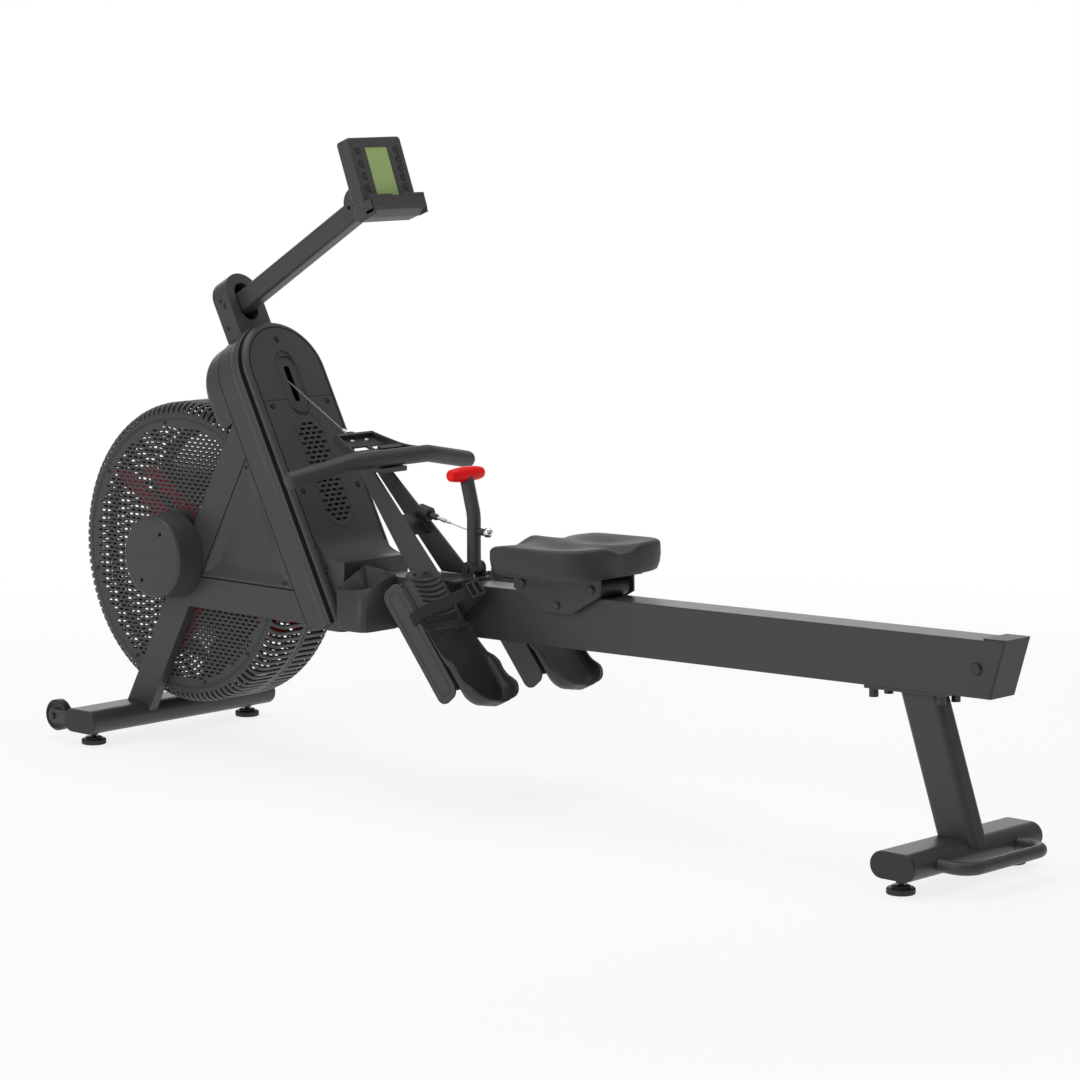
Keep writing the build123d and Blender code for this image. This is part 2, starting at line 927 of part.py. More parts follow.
with BuildPart() as drive_drum:
    turn_about_y(
        [
            (hub_tube_radius + running, -drum_half_width),
            (groove_radius + drum_flange, -drum_half_width),
            (groove_radius + drum_flange, -drum_half_width + 3),
            (groove_radius - loose, -drum_half_width + 6),
            (groove_radius - loose, drum_half_width - 6),
            (groove_radius + drum_flange, drum_half_width - 3),
            (groove_radius + drum_flange, drum_half_width),
            (hub_tube_radius + running, drum_half_width),
        ],
        fan_x,
        fan_z,
    )

with BuildPart() as guide_pulley:
    half = pulley_width / 2
    turn_about_y(
        [
            (pulley_axle_radius + running, -half),
            (groove_radius + pulley_flange, -half),
            (groove_radius - loose, -2),
            (groove_radius - loose, 2),
            (groove_radius + pulley_flange, half),
            (pulley_axle_radius + running, half),
        ],
        pulley_x,
        pulley_z,
    )

# Column: shroud with a rounded rear edge, apex cover, rear panel and cross beam
with BuildPart() as shroud_core:
    with BuildSketch(column_face(-shroud_depth - 1)):
        tombstone(shroud_half_width - shroud_wall, arch_u, post_bottom_u)
    extrude(amount=shroud_depth + 1 - shroud_wall)
    fillet(shroud_core.faces().sort_by(Axis((0, 0, 0), (lean_cos, 0, lean_sin)))[-1].edges(),
           shroud_edge - shroud_wall)

rail_gap = 1.0

with BuildPart() as rail_room:
    with BuildSketch(rail_side(-rail_width / 2 - rail_gap)):
        with BuildLine():
            Polyline(
                (0, -rail_height - rail_gap),
                (rail_tail_s, -rail_height - rail_gap),
                (rail_tail_s, rail_gap),
                (0, rail_gap),
                close=True,
            )
        make_face()
    extrude(amount=-rail_width - 2 * rail_gap)

turn = radians(scoop_turn)
scoop_end_n = scoop_radius * (1 - cos(turn))
scoop_end_u = panel_bottom_u - scoop_radius * sin(turn)
scoop_mid_n = scoop_radius * (1 - cos(turn / 2))
scoop_mid_u = panel_bottom_u - scoop_radius * sin(turn / 2)
scoop_x, scoop_z = place(column_side(), scoop_end_n, scoop_end_u)
scoop_end_s = rail_side().to_local_coords(Vector(scoop_x, 0, scoop_z)).X
scoop_foot = column_side().to_local_coords(
    rail_side().from_local_coords((scoop_end_s, 2 * rail_gap, 0))
)
scoop_heel_u = scoop_foot.Y + (scoop_foot.X + panel_thick) * tan(radians(column_lean - rail_tilt))

with BuildPart() as column_shroud:
    with BuildSketch(column_face(-shroud_depth)):
        tombstone(shroud_half_width, arch_u, post_bottom_u)
    extrude(amount=shroud_depth)
    fillet(column_shroud.faces().sort_by(Axis((0, 0, 0), (lean_cos, 0, lean_sin)))[-1].edges(),
           shroud_edge)
    add(shroud_core.part, mode=Mode.SUBTRACT)
    with BuildSketch(column_face(-2 * shroud_wall)):
        tombstone(panel_half_width + loose, arch_u, scoop_heel_u - panel_thick)
    extrude(amount=4 * shroud_wall, mode=Mode.SUBTRACT)
    add(rail_room.part, mode=Mode.SUBTRACT)
    split(bisect_by=Plane.XY.offset(column_bottom_z), keep=Keep.TOP)

vent_slots = []
vent_rows = int((vent_top_u - vent_bottom_u) // vent_pitch_u)
for row in range(vent_rows):
    u = vent_bottom_u + (row + 0.5) * vent_pitch_u
    steps = (-0.5, 0.5) if row % 2 == 0 or row == vent_rows - 1 else (-1, 0, 1)
    vent_slots += [(step * vent_pitch_y, u) for step in steps]

with BuildPart() as rear_panel:
    with BuildSketch(column_face(-panel_thick)):
        tombstone(panel_half_width, arch_u, scoop_heel_u)
    extrude(amount=panel_thick)
    with BuildSketch(column_face(-cable_recess_depth)):
        with Locations((0, cable_slot_u)):
            SlotOverall(cable_recess_length, cable_recess_width, rotation=90)
    extrude(amount=cable_recess_depth, mode=Mode.SUBTRACT)
    with BuildSketch(column_face(-2 * panel_thick)):
        with Locations((0, cable_slot_u)):
            SlotOverall(cable_slot_length, cable_slot_width, rotation=90)
        with Locations(*vent_slots):
            Rectangle(vent_slot_length, vent_slot_height)
    extrude(amount=4 * panel_thick, mode=Mode.SUBTRACT)
    with BuildSketch(column_side(-scoop_half_width)):
        with BuildLine():
            Line((-panel_thick, panel_bottom_u), (0, panel_bottom_u))
            ThreePointArc(
                (0, panel_bottom_u), (scoop_mid_n, scoop_mid_u), (scoop_end_n, scoop_end_u)
            )
            Polyline(
                (scoop_end_n, scoop_end_u),
                (scoop_foot.X, scoop_foot.Y),
                (-panel_thick, scoop_heel_u),
                (-panel_thick, panel_bottom_u),
            )
        make_face()
    extrude(amount=-2 * scoop_half_width)

with BuildPart() as apex_cover:
    with BuildSketch(column_face(-shroud_depth - loose)):
        tombstone(apex_half_width, arch_u, apex_bottom_u)
    extrude(amount=-apex_depth)
    fillet(apex_cover.faces().sort_by(Axis((0, 0, 0), (lean_cos, 0, lean_sin)))[0].edges(),
           apex_edge)
    with BuildSketch(column_face(-shroud_depth)):
        tombstone(apex_half_width - shroud_wall, arch_u, apex_bottom_u - 50)
    extrude(amount=-apex_depth + apex_edge, mode=Mode.SUBTRACT)
    with BuildSketch(column_face(-shroud_depth - apex_depth + apex_edge + 1)):
        tombstone(apex_half_width - apex_edge, arch_u, apex_bottom_u - 50)
    extrude(amount=-apex_edge + shroud_wall, mode=Mode.SUBTRACT)
    with BuildSketch(side(0)):
        with Locations((fan_x, fan_z)):
            Circle(cage_radius + apex_cage_gap)
    extrude(amount=2 * apex_half_width, both=True, mode=Mode.SUBTRACT)
    with BuildSketch(side(0)):
        with BuildLine():
            Polyline(
                (upright_edge(foot_z, -loose), foot_z),
                (upright_edge(foot_z, upright_span + loose), foot_z),
                (upright_edge(upright_top_z + loose, upright_span + loose), upright_top_z + loose),
                (upright_edge(upright_top_z + loose, -loose), upright_top_z + loose),
                close=True,
            )
        make_face()
    extrude(amount=frame_outer_y + loose, both=True, mode=Mode.SUBTRACT)
    with BuildSketch(Plane(origin=drum_entry, z_dir=cable_run)):
        Circle(cable_port_radius)
    extrude(amount=(pulley_exit - drum_entry).length, mode=Mode.SUBTRACT)

with BuildPart() as column_beam:
    with BuildSketch(column_face(beam_front_n)):
        with BuildLine():
            Polyline(
                (-frame_inner_y, beam_bottom_u),
                (frame_inner_y, beam_bottom_u),
                (frame_inner_y, beam_top_u),
                (-frame_inner_y, beam_top_u),
                close=True,
            )
        make_face()
    extrude(amount=beam_thick)

# Rail: a box tube with a slanted tail, butted on the cross beam
rail_front_n = beam_front_n + beam_thick


def rail_front_s(h):
    """Where the rail meets the rear face of the beam, at a height in the rail's frame."""
    turn = radians(column_lean - rail_tilt)
    start = rail_side().to_local_coords(
        column_side().from_local_coords((rail_front_n, 0, 0))
    )
    return start.X + (start.Y - h) * tan(turn)


def rail_tail(h):
    return rail_tail_s + h * tan(radians(rail_tail_slant - rail_tilt))


with BuildPart() as rail:
    with BuildSketch(rail_side()):
        with BuildLine():
            Polyline(
                (rail_front_s(0), 0),
                (rail_front_s(-rail_height), -rail_height),
                (rail_tail(-rail_height), -rail_height),
                (rail_tail(0), 0),
                close=True,
            )
        make_face()
    extrude(amount=rail_width / 2, both=True)
    with BuildSketch(rail_side()):
        with BuildLine():
            Polyline(
                (0, -rail_wall),
                (0, -rail_height + rail_wall),
                (rail_tail_s + rail_height, -rail_height + rail_wall),
                (rail_tail_s + rail_height, -rail_wall),
                close=True,
            )
        make_face()
    extrude(amount=rail_width / 2 - rail_wall, both=True, mode=Mode.SUBTRACT)
    with BuildSketch(rail_side()):
        with Locations((cross_bolt_s, cross_bolt_h)):
            Circle(cross_bolt_radius + bolt_gap)
    extrude(amount=rail_width, both=True, mode=Mode.SUBTRACT)

with BuildPart() as rail_end_cap:
    with BuildSketch(rail_side()):
        with BuildLine():
            Polyline(
                (rail_tail(-rail_height), -rail_height),
                (rail_tail(-rail_height) + end_cap_plate, -rail_height),
                (rail_tail(end_cap_lip_height) + end_cap_plate, end_cap_lip_height),
                (rail_tail(0) - end_cap_lip_length, end_cap_lip_height),
                (rail_tail(0) - end_cap_lip_length, 0),
                (rail_tail(0), 0),
                close=True,
            )
        make_face()
    extrude(amount=rail_width / 2, both=True)

# Return cord: two runs along the inside of the rail, looped round the cross bolt
cord_bend = cross_bolt_radius + cord_radius + loose

with BuildPart() as return_cord:
    with BuildLine(rail_side()) as cord_path:
        Line((cord_front_s, cross_bolt_h + cord_bend), (cross_bolt_s, cross_bolt_h + cord_bend))
        ThreePointArc(
            (cross_bolt_s, cross_bolt_h + cord_bend),
            (cross_bolt_s + cord_bend, cross_bolt_h),
            (cross_bolt_s, cross_bolt_h - cord_bend),
        )
        Line((cross_bolt_s, cross_bolt_h - cord_bend), (cord_front_s, cross_bolt_h - cord_bend))
    with BuildSketch(Plane(origin=cord_path.wire() @ 0, z_dir=cord_path.wire() % 0)):
        Circle(cord_radius)
    sweep()

# Rear leg: leaning flat tube between a bolted flange and the rear foot
leg_x, leg_z = place(rail_side(), leg_top_s, -rail_height)

with BuildPart() as rear_leg:
    with BuildSketch(rail_side()):
        with Locations((leg_top_s + flange_shift, -rail_height - flange_thick / 2)):
            Rectangle(flange_length, flange_thick)
    extrude(amount=flange_width / 2, both=True)
    down = Vector(sin(radians(leg_lean)), 0, -cos(radians(leg_lean)))
    leg_length = (leg_z - foot_z) / cos(radians(leg_lean)) + leg_depth
    leg_plane = Plane(
        origin=Vector(leg_x, 0, leg_z) - down * leg_depth, x_dir=(0, 1, 0), z_dir=down
    )
    with BuildSketch(leg_plane):
        RectangleRounded(leg_width, leg_depth, leg_corner)
        RectangleRounded(
            leg_width - 2 * leg_wall, leg_depth - 2 * leg_wall, leg_corner - leg_wall,
            mode=Mode.SUBTRACT,
        )
    extrude(amount=leg_length)
    with BuildSketch(rail_side()):
        with Locations((leg_top_s, 0)):
            Rectangle(3 * leg_depth, 2 * rail_height)
    extrude(amount=leg_width, both=True, mode=Mode.SUBTRACT)
    with BuildSketch(side(0)):
        with Locations((rear_foot_x, foot_z)):
            SlotOverall(foot_width, foot_height)
        with Locations((rear_foot_x, foot_z - foot_height)):
            Rectangle(2 * foot_width, 2 * foot_height)
    extrude(amount=leg_width, both=True, mode=Mode.SUBTRACT)
    flange_bolts = [
        rail_side().from_local_coords(
            (leg_top_s + flange_shift + a * flange_bolt_along / 2, -rail_height - flange_thick,
             b * flange_bolt_across / 2)
        )
        for a in (-1, 1)
        for b in (-1, 1)
    ]
    flange_up = rail_side().y_dir
    for point in flange_bolts:
        with BuildSketch(Plane(origin=point, z_dir=flange_up)):
            Circle(leg_bolt_radius + bolt_gap)
        extrude(amount=2 * flange_thick, both=True, mode=Mode.SUBTRACT)

with BuildPart() as lift_handle:
    with BuildLine(Plane.XY.offset(lift_z)) as lift_path:
        FilletPolyline(
            (rear_foot_x + foot_width / 4, -lift_half_width),
            (lift_rear_x, -lift_half_width),
            (lift_rear_x, lift_half_width),
            (rear_foot_x + foot_width / 4, lift_half_width),
            radius=lift_corner,
        )
    with BuildSketch(Plane(origin=lift_path.wire() @ 0, z_dir=lift_path.wire() % 0)):
        Circle(lift_tube_radius)
    sweep()
    with BuildSketch(side(0)):
        with Locations((rear_foot_x, foot_z)):
            SlotOverall(foot_width, foot_height)
    extrude(amount=rear_foot_length, both=True, mode=Mode.SUBTRACT)

# Fasteners of the frame: levelling studs and nuts, wheel bolts, leg bolts, cross bolt
with BuildPart() as frame_fasteners:
    with BuildSketch(Plane.XY.offset(stud_bottom_z + running)):
        with Locations(*leveller_places):
            Circle(stud_radius)
    extrude(amount=stud_length)
    with BuildSketch(Plane.XY.offset(foot_bottom - nut_height)):
        with Locations(*leveller_places):
            RegularPolygon(nut_across / 2, 6, major_radius=False)
    extrude(amount=nut_height)
    bolt_half = wheel_width / 2 + wheel_side_gap + fork_thick
    for sign in (-1, 1):
        with BuildSketch(side(sign * wheel_y)):
            with Locations((wheel_x, foot_z)):
                Circle(wheel_bolt_radius)
        extrude(amount=bolt_half, both=True)
        for end in (-1, 1):
            with BuildSketch(side(sign * wheel_y + end * bolt_half)):
                with Locations((wheel_x, foot_z)):
                    RegularPolygon(1.8 * wheel_bolt_radius, 6)
            extrude(amount=-end * bolt_head_height)
    for point in flange_bolts:
        with BuildSketch(Plane(origin=point, z_dir=-flange_up)):
            RegularPolygon(leg_bolt_across / 2, 6, major_radius=False)
        extrude(amount=leg_bolt_length)
        with BuildSketch(Plane(origin=point, z_dir=flange_up)):
            Circle(leg_bolt_radius)
        extrude(amount=flange_thick)
    with BuildSketch(rail_side()):
        with Locations((cross_bolt_s, cross_bolt_h)):
            Circle(cross_bolt_radius)
    extrude(amount=rail_width / 2, both=True)
    for sign in (-1, 1):
        with BuildSketch(rail_side(sign * rail_width / 2)):
            with Locations((cross_bolt_s, cross_bolt_h)):
                Circle(2 * cross_bolt_radius)
        extrude(amount=-sign * bolt_head_height, taper=25)

# Footboards: a folded channel each, with a stub tube that bolts to the rail
board_mid_y = (board_inner_y + board_outer_y) / 2
board_width = board_outer_y - board_inner_y

with BuildPart() as pedal_left:
    with BuildSketch(board_side(-board_inner_y)):
        with Locations((board_length / 2, -board_depth / 2)):
            RectangleRounded(board_length, board_depth, board_corner)
    extrude(amount=board_width)
    with BuildSketch(board_side(-board_inner_y - board_skin)):
        with Locations((board_length / 2, -board_depth / 2 - board_thick)):
            Rectangle(board_length + 2 * board_depth, board_depth)
    extrude(amount=board_width - 2 * board_skin, mode=Mode.SUBTRACT)
    with BuildSketch(board_side(-rail_width / 2)):
        with Locations((board_stub_a, board_stub_b)):
            Circle(board_stub_radius)
    extrude(amount=board_inner_y + board_skin - rail_width / 2)
    peg_plane = Plane(
        origin=board_side().from_local_coords((toe_pad_start + toe_pad_length + 14, 0, board_mid_y)),
        x_dir=(0, 1, 0),
        z_dir=board_side().y_dir,
    )
    with BuildSketch(peg_plane):
        with Locations((-14, 0), (14, 0)):
            Circle(3.5)
    extrude(amount=-2 * board_thick, mode=Mode.SUBTRACT)

pedal_right = mirrored(pedal_left)

toe_half = board_width / 2 - toe_pad_inset

with BuildPart() as toe_pads:
    with BuildSketch(board_side(-board_mid_y)):
        with BuildLine():
            Polyline(
                (toe_pad_start, 0),
                (toe_pad_start + toe_pad_length, 0),
                (toe_pad_start + toe_pad_length, toe_pad_height * 0.45),
                (toe_pad_start + toe_pad_length * 0.9, toe_pad_height * 0.75),
                (toe_pad_start + toe_pad_length * 0.55, toe_pad_height),
                (toe_pad_start + toe_pad_length * 0.1, toe_pad_height),
                (toe_pad_start, toe_pad_height * 0.7),
                close=True,
            )
        make_face()
    extrude(amount=toe_half, both=True)
    for rib in range(toe_rib_count):
        with BuildSketch(board_side(-board_mid_y)):
            with Locations((toe_pad_start + 14 + rib * toe_rib_pitch, toe_pad_height * 0.8)):
                Rectangle(toe_rib_width, toe_pad_height * 0.4 + 2 * toe_rib_height)
        extrude(amount=toe_half - 6, both=True)
    mirror(about=Plane.XZ)

# Heel cups: trays that slide on the boards, with a rim that rises round the heel
cup_inner_y = board_inner_y + heel_side_gap
cup_width = board_width - 2 * heel_side_gap
cup_half = cup_width / 2


def cup_plane(b):
    """Plane of the footboard, drawn across it and down it, at a height off its face."""
    return Plane(
        origin=board_side().from_local_coords((0, b, board_mid_y)),
        x_dir=(0, 1, 0),
        z_dir=board_side().y_dir,
    )


def cup_outline(inset):
    half = cup_half - inset
    bottom = heel_bottom_a - inset
    corner = heel_corner - inset
    with BuildLine() as outline:
        Polyline(
            (-half, -bottom + corner), (-half, -heel_top_a), (half, -heel_top_a),
            (half, -bottom + corner),
        )
        RadiusArc((half, -bottom + corner), (half - corner, -bottom), corner)
        Line((half - corner, -bottom), (-half + corner, -bottom))
        RadiusArc((-half + corner, -bottom), (-half, -bottom + corner), corner)
    make_face(outline.edges())


with BuildPart() as heel_cup_left:
    with BuildSketch(cup_plane(loose)):
        cup_outline(0)
    extrude(amount=heel_rim)
    with BuildSketch(cup_plane(loose + heel_wall)):
        cup_outline(heel_wall)
        with Locations((0, -heel_top_a)):
            Rectangle(2 * (cup_half - heel_wall), 4 * heel_wall)
    extrude(amount=heel_rim, mode=Mode.SUBTRACT)
    with BuildSketch(board_side(-board_inner_y)):
        with BuildLine():
            Polyline(
                (heel_top_a - 20, heel_wall + 8),
                (heel_rim_start_a, heel_wall + 8),
                (heel_rim_start_a + 30, heel_wall + 18),
                (heel_bottom_a - 30, heel_rim + 1),
                (heel_bottom_a - 30, 2 * heel_rim),
                (heel_top_a - 20, 2 * heel_rim),
                close=True,
            )
        make_face()
    extrude(amount=board_width, mode=Mode.SUBTRACT)
    with BuildSketch(cup_plane(-heel_wall)):
        with Locations((-cup_half * 0.35, -heel_top_a - 30), (cup_half * 0.35, -heel_top_a - 30)):
            Circle(6)
    extrude(amount=4 * heel_wall, mode=Mode.SUBTRACT)

heel_cup_right = mirrored(heel_cup_left)

# Foot straps: a band over each board with a buckle on its inner shoulder
strap_seat = strap_thick / 2 + loose
strap_path = [
    (-board_outer_y - strap_seat, strap_slot_b),
    (-board_outer_y - strap_seat, 6.0),
    (-board_outer_y + 26.0, 44.0),
    (-board_mid_y + 4.0, 68.0),
    (-board_inner_y - 8.0, 82.0),
    (-board_inner_y + 8.0, 78.0),
    (-board_inner_y + strap_seat + 9.0, 60.0),
    (-board_inner_y + strap_seat, 10.0),
    (-board_inner_y + strap_seat, strap_slot_b),
]


def strap_plane(a):
    """Plane across the footboard at a distance down it, drawn in Y and out of its face."""
    return Plane(
        origin=board_side().from_local_coords((a, 0, 0)),
        x_dir=(0, 1, 0),
        z_dir=board_side().x_dir,
    )


with BuildPart() as foot_straps:
    with BuildSketch(strap_plane(strap_a)):
        with BuildLine():
            Polyline(*strap_path)
            offset(amount=strap_thick / 2, kind=Kind.INTERSECTION, side=Side.BOTH)
        make_face()
    extrude(amount=strap_width / 2, both=True)
    first = Vector(strap_path[4][0], strap_path[4][1])
    second = Vector(strap_path[3][0], strap_path[3][1])
    middle = first + (second - first) * 0.38
    along = (second - first).normalized()
    out = Vector(along.Y, -along.X)
    corners = [
        middle + along * (i * buckle_length / 2) + out * (strap_thick / 2 + j * buckle_thick)
        for i, j in ((-1, 0), (1, 0), (1, 1), (-1, 1))
    ]
    with BuildSketch(strap_plane(strap_a)):
        with BuildLine():
            Polyline(*[(corner.X, corner.Y) for corner in corners], close=True)
        make_face()
    extrude(amount=buckle_width / 2 + 6, both=True)
    mirror(about=Plane.XZ)

# Handle: bent bar, yoke with its cable clip, and the pull cable
with BuildPart() as handle_bar:
    with BuildLine() as bar_path:
        FilletPolyline(
            (bar_end_x, -bar_end_y, bar_end_z),
            (bar_x, -bar_bend_y, bar_z),
            (bar_x, bar_bend_y, bar_z),
            (bar_end_x, bar_end_y, bar_end_z),
            radius=bar_bend_radius,
        )
    with BuildSketch(Plane(origin=bar_path.wire() @ 0, z_dir=bar_path.wire() % 0)):
        Circle(bar_radius)
    sweep()

yoke_length = hypot(clip_x - bar_x, clip_z - bar_z)
yoke_normal = Vector(clip_z - bar_z, 0, bar_x - clip_x).normalized()
yoke_forward = Vector(clip_x - bar_x, 0, clip_z - bar_z).normalized()


def yoke_plane(lift):
    """Plane of the yoke, drawn forwards from the bar and across it."""
    return Plane(
        origin=Vector(bar_x, 0, bar_z) + yoke_normal * lift, x_dir=yoke_forward, z_dir=yoke_normal
    )


yoke_start = bar_radius + loose
yoke_end = yoke_length - clip_length

with BuildPart() as handle_bracket:
    with BuildSketch(yoke_plane(-yoke_thick / 2)):
        with BuildLine():
            Polyline(
                (yoke_start, -yoke_half_width),
                (yoke_end, -yoke_front_half_width),
                (yoke_end, yoke_front_half_width),
                (yoke_start, yoke_half_width),
                close=True,
            )
        make_face()
        with BuildLine():
            Polyline(
                (yoke_start + yoke_border, -yoke_half_width + 2 * yoke_border),
                (yoke_end - 2 * yoke_border, -yoke_front_half_width + yoke_border * 0.6),
                (yoke_end - 2 * yoke_border, yoke_front_half_width - yoke_border * 0.6),
                (yoke_start + yoke_border, yoke_half_width - 2 * yoke_border),
                close=True,
            )
        make_face(mode=Mode.SUBTRACT)
    extrude(amount=yoke_thick)
    for sign in (-1, 1):
        with BuildSketch(yoke_plane(-yoke_rib)):
            with BuildLine():
                Polyline(
                    (yoke_start + 4, sign * yoke_half_width),
                    (yoke_end, sign * yoke_front_half_width),
                    (yoke_end, sign * (yoke_front_half_width - yoke_thick)),
                    (yoke_start + 4, sign * (yoke_half_width - yoke_thick)),
                    close=True,
                )
            make_face()
        extrude(amount=2 * yoke_rib)
    with BuildSketch(Plane(origin=yoke_plane(0).from_local_coords((yoke_end - 4, 0, 0)),
                           z_dir=yoke_forward)):
        Circle(clip_radius)
    extrude(amount=clip_length)
    for clamp_y in (-yoke_half_width + clamp_inset, yoke_half_width - clamp_inset - clamp_length):
        clamp_plane = Plane(
            origin=(bar_x, clamp_y, bar_z), x_dir=yoke_forward, z_dir=(0, 1, 0)
        )
        with BuildSketch(clamp_plane):
            Circle(bar_radius + yoke_thick)
            Circle(bar_radius + loose, mode=Mode.SUBTRACT)
            with Locations((-bar_radius - yoke_thick, 0)):
                Rectangle(2 * (bar_radius + yoke_thick), 3 * bar_radius, mode=Mode.SUBTRACT)
        extrude(amount=clamp_length)

cable_plane = column_side()
clip_end = yoke_plane(0).from_local_coords((yoke_end - 4 + clip_length + 2 * cable_radius, 0, 0))
cable_start = cable_plane.to_local_coords(clip_end)
start_to_pulley = pulley_local - Vector(cable_start.X, cable_start.Y)
tangent_length = (start_to_pulley.length ** 2 - pulley_line_radius ** 2) ** 0.5
tangent_turn = degrees(
    Vector(tangent_length, pulley_line_radius).get_angle(Vector(1, 0)) * pi / 180
)
entry = Vector(cable_start.X, cable_start.Y) + (
    start_to_pulley.normalized().rotate(Axis.Z, -tangent_turn) * tangent_length
)
exit_local = cable_plane.to_local_coords(pulley_exit)
drum_local = cable_plane.to_local_coords(drum_entry)
top = ((entry + Vector(exit_local.X, exit_local.Y)) * 0.5 - pulley_local).normalized()
crown = pulley_local + top * pulley_line_radius

with BuildPart() as pull_cable:
    with BuildLine(cable_plane) as cable_path:
        Line((cable_start.X, cable_start.Y), (entry.X, entry.Y))
        ThreePointArc((entry.X, entry.Y), (crown.X, crown.Y), (exit_local.X, exit_local.Y))
        Line((exit_local.X, exit_local.Y), (drum_local.X, drum_local.Y))
    with BuildSketch(Plane(origin=cable_path.wire() @ 0, z_dir=cable_path.wire() % 0)):
        Circle(cable_radius)
    sweep()

# Brake cable datums: from the adjuster barrel on the right strut to the lever
wire_end = Vector(lever_x - lever_tube_radius - 3 * loose, lever_y, wire_lever_z)
wire_start = Vector(wire_start_x, wire_start_y, wire_start_z)
wire_run = (wire_end - wire_start).normalized()

# Handle rest: two leaning struts on a plate across the rail, a bridge, a saddle, the
# lever's two ears and, on the rail behind them, the seat's front stop
strut_lean = Vector(0, strut_foot_y - strut_top_y, strut_top_z - strut_foot_z).normalized()
strut_plane = Plane(
    origin=(0, -strut_foot_y, strut_foot_z),
    x_dir=(1, 0, 0),
    z_dir=Vector(1, 0, 0).cross(strut_lean),
)
strut_rise = hypot(strut_top_z - strut_foot_z, strut_foot_y - strut_top_y)

def strut_at(share):
    """Point on the left strut's centre line, from its foot at 0 to its top at 1."""
    return Vector(
        strut_foot_x + (strut_top_x - strut_foot_x) * share,
        -strut_foot_y + (strut_foot_y - strut_top_y) * share,
        strut_foot_z + (strut_top_z - strut_foot_z) * share,
    )


lever_local = rail_side().to_local_coords(Vector(lever_x, lever_y, lever_z))
saddle_top = bar_z - bar_radius - loose

with BuildPart() as handle_rest:
    with BuildSketch(rail_side()):
        with Locations(((rest_plate_front + rest_plate_rear) / 2, rest_plate_thick / 2)):
            Rectangle(rest_plate_rear - rest_plate_front, rest_plate_thick)
    extrude(amount=rest_plate_half_width, both=True)
    for twin in (-1, 1):
        plane = strut_plane if twin < 0 else Plane(
            origin=(0, strut_foot_y, strut_foot_z),
            x_dir=(1, 0, 0),
            z_dir=Vector(1, 0, 0).cross(Vector(0, -strut_lean.Y, strut_lean.Z)),
        )
        with BuildSketch(plane):
            with BuildLine():
                Polyline(
                    (strut_foot_x - strut_foot_half, -8),
                    (strut_foot_x + strut_foot_half, -8),
                    (strut_top_x + strut_top_half, strut_rise),
                    (strut_top_x - strut_top_half, strut_rise),
                    close=True,
                )
            make_face()
        extrude(amount=strut_thick / 2, both=True)
    bridge = strut_at(bridge_share)
    along = Vector(strut_top_x - strut_foot_x, 0, strut_top_z - strut_foot_z).normalized()
    with BuildSketch(Plane(origin=Vector(bridge.X, 0, bridge.Z), x_dir=along, z_dir=(0, -1, 0))):
        Rectangle(bridge_length, strut_thick)
    extrude(amount=-bridge.Y, both=True)
    with BuildSketch(side(0)):
        with Locations((bar_x - 12, saddle_top - saddle_thick / 2)):
            Rectangle(saddle_length, saddle_thick)
        with BuildLine():
            Polyline(
                (bar_x - 12 - saddle_length / 2, saddle_top - saddle_thick),
                (bar_x - bar_radius - 1, saddle_top - saddle_thick),
                (bar_x - bar_radius - 1, saddle_top + saddle_lip),
                (bar_x - 12 - saddle_length / 2, saddle_top + saddle_lip - 4),
                close=True,
            )
        make_face()
        with Locations((bar_x, bar_z)):
            Circle(bar_radius + loose, mode=Mode.SUBTRACT)
    extrude(amount=saddle_half_width, both=True)
    for sign in (-1, 1):
        inner = lever_y + sign * (lever_boss_half + ear_gap)
        with BuildSketch(rail_side(inner)):
            with BuildLine():
                Polyline(
                    (lever_local.X - ear_radius, 0),
                    (lever_local.X + ear_radius, 0),
                    (lever_local.X + ear_radius, lever_local.Y),
                    (lever_local.X - ear_radius, lever_local.Y),
                    close=True,
                )
            make_face()
            with Locations((lever_local.X, lever_local.Y)):
                Circle(ear_radius)
                Circle(lever_pivot_radius + running, mode=Mode.SUBTRACT)
        extrude(amount=-sign * ear_thick)
    with BuildSketch(Plane(origin=wire_start, z_dir=wire_run)):
        Circle(barrel_radius)
    extrude(amount=barrel_length)
    with BuildSketch(rail_side()):
        with Locations((seat_stop_s + seat_stop_length / 2, seat_stop_height / 2)):
            Rectangle(seat_stop_length, seat_stop_height)
    extrude(amount=rail_width / 4, both=True)

# Lever: bent tube on a pivot boss, cable ball behind it, and the grip across its top
lever_low = Vector(lever_x, lever_y, lever_z)
lever_knee = Vector(lever_x, lever_y, lever_bend_z)
lever_top = Vector(lever_top_x, lever_y, lever_top_z)

